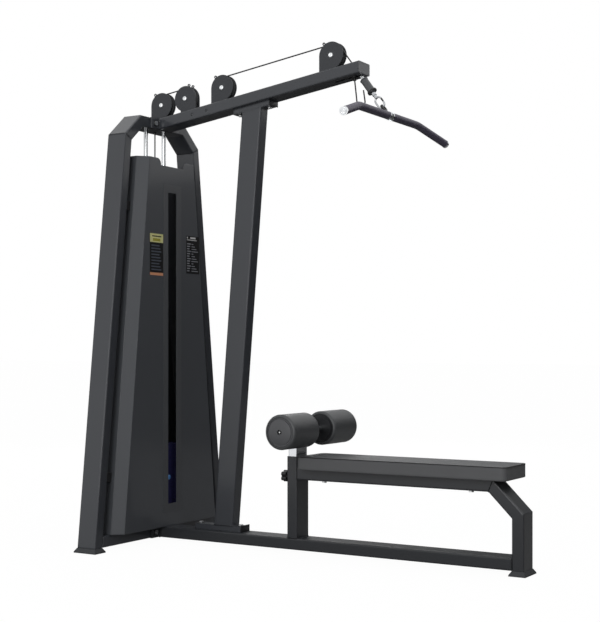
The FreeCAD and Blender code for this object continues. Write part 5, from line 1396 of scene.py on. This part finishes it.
@dataclass
class Studio:
    """Pale floor, white surroundings, soft lamps, dark cards and the camera."""

    lens_mm: float = 73.16
    camera_place: tuple[float, float, float] = (2.7396, -4.667, 0.887)
    camera_turn: float = 31.15
    camera_shift: float = 0.0587
    floor_reach: float = 60.0
    floor_bounce: str = "#5c5c5c"
    floor_white: str = "#f4f4f4"
    floor_glow: float = 1.045
    glow_share: float = 0.93
    soft_light: float = 0.26
    sweep_near: float = -1.9
    sweep_far: float = -2.5
    mirrored: float = 0.12

    def build(self) -> None:
        """Set up the whole studio."""
        self._world()
        self._floor()
        self._lamps()
        self._cards()
        self._camera()
        bpy.context.scene.view_settings.view_transform = "Standard"

    def _seen(self, tree: Tree, *others: str) -> Socket:
        """1 for rays from the camera and of other kinds, and 0 for the light on things.

        Args:
            tree: the tree that asks.
            others: the other kinds, as outputs of Light Path.

        Returns:
            The output that tells.
        """
        seen = add(tree, "ShaderNodeLightPath", output="Is Camera Ray")
        for other in others:
            also = add(tree, "ShaderNodeLightPath", output=other)
            seen = add(tree, "ShaderNodeMath", {"operation": "MAXIMUM", 0: seen, 1: also})
        return seen

    def _world(self) -> None:
        """White where it is seen, and a soft even light elsewhere."""
        world = bpy.data.worlds.new("studio_world")
        world.use_nodes = True
        bpy.context.scene.world = world
        tree = world.node_tree
        seen = self._seen(tree, "Is Glossy Ray", "Is Transmission Ray")
        strength = add(tree, "ShaderNodeMapRange", {"To Min": self.soft_light, "To Max": 1.0, "Value": seen})
        feed(tree.nodes["Background"], {"Color": (1, 1, 1, 1), "Strength": strength})

    def _floor(self) -> None:
        """A white floor that keeps a soft shadow, and shows dark in reflections near the machine."""
        ends = (-self.floor_reach, self.floor_reach)
        floor = new_mesh([Vector((x, y, 0)) for x in ends for y in ends], [(0, 2, 3, 1)], name="floor")
        material, shader = new_material("studio_floor", {"Roughness": 0.9})
        tree = material.node_tree
        place = add(tree, "ShaderNodeSeparateXYZ", {0: add(tree, "ShaderNodeTexCoord", output="Object")}, "Y")
        sweep = add(tree, "ShaderNodeMapRange", {
            "From Min": self.sweep_near, "From Max": self.sweep_far, "To Min": self.mirrored, "To Max": 1.0,
            "Value": place})
        glossy = add(tree, "ShaderNodeLightPath", output="Is Glossy Ray")
        swept = add(tree, "ShaderNodeMath", {"operation": "MULTIPLY", 0: sweep, 1: glossy})
        seen = add(tree, "ShaderNodeMath", {
            "operation": "MAXIMUM", 0: self._seen(tree, "Is Transmission Ray"), 1: swept})
        feed(shader, {"Base Color": add(tree, "ShaderNodeMix", {
            "data_type": "RGBA", 0: seen, 6: linear(self.floor_bounce), 7: linear(self.floor_white)}, 2)})
        glow = add(tree, "ShaderNodeEmission", {"Strength": self.floor_glow, "Color": (1, 1, 1, 1)})
        share = add(tree, "ShaderNodeMath", {"operation": "MULTIPLY", 0: seen, 1: self.glow_share})
        mix = add(tree, "ShaderNodeMixShader", {0: share, 1: shader.outputs["BSDF"], 2: glow})
        feed(tree.nodes["Material Output"], {"Surface": mix})
        floor.data.materials.append(material)

    def _lamps(self) -> None:
        """Large soft lamps: the strongest from the left, and others from the right, behind and above."""
        for name, place, aim, size, power in (
                ("key", (0.9, -6.0, 2.0), (0, 0, 1.0), 2.5, 80.0),
                ("fill", (5.0, -1.5, 2.2), (0.2, 0, 0.9), 2.5, 9.0),
                ("back", (-3.6, 5.2, 2.6), (0, 0, 1.0), 2.5, 45.0),
                ("top", (0.6, 0.4, 5.2), (0.2, 0, 0), 3.0, 14.0)):
            light = bpy.data.lights.new(name, "AREA")
            light.energy, light.size = power, size
            lamp = linked(name, light)
            lamp.location = place
            lamp.rotation_euler = (Vector(aim) - Vector(place)).to_track_quat("-Z", "Y").to_euler()

    def _cards(self) -> None:
        """Black cards out of view, which give the chrome its dark lines and keep the ends in shade."""
        black = new_material("black_card_felt", {"Base Color": linear("#0a0a0b"), "Roughness": 1.0})[0]
        for name, (x0, y0), (x1, y1), top in (("right_card", (4.8, -2.2), (4.8, 4.6), 3.2),
                                              ("left_card", (-4.4, -1.2), (-3.4, 2.8), 3.2),
                                              ("back_card", (-5.5, 4.0), (4.8, 4.6), 2.4)):
            card = new_mesh([Vector((x0, y0, 0)), Vector((x1, y1, 0)), Vector((x1, y1, top)),
                             Vector((x0, y0, top))], [(0, 1, 2, 3)], name=name)
            card.data.materials.append(black)
            card.visible_camera = card.visible_diffuse = card.visible_shadow = False

    def _camera(self) -> None:
        """A level camera at standing eye height, to the right of the bench."""
        data = bpy.data.cameras.new("camera")
        data.lens, data.sensor_width, data.shift_y = self.lens_mm, 36.0, self.camera_shift
        camera = linked("camera", data)
        camera.location = self.camera_place
        camera.rotation_euler = (math.radians(90), 0, math.radians(self.camera_turn))
        bpy.context.scene.camera = camera


def main() -> None:
    """Build every sub-assembly in order."""
    for part in (TowerFrame(), Covers(), WeightStack(), CableRig(), PullBar(), Bench(), ThighRollers(),
                 Studio()):
        part.build()
        LOG.info("%s is made", type(part).__name__)


if __name__ == "__main__":
    main()
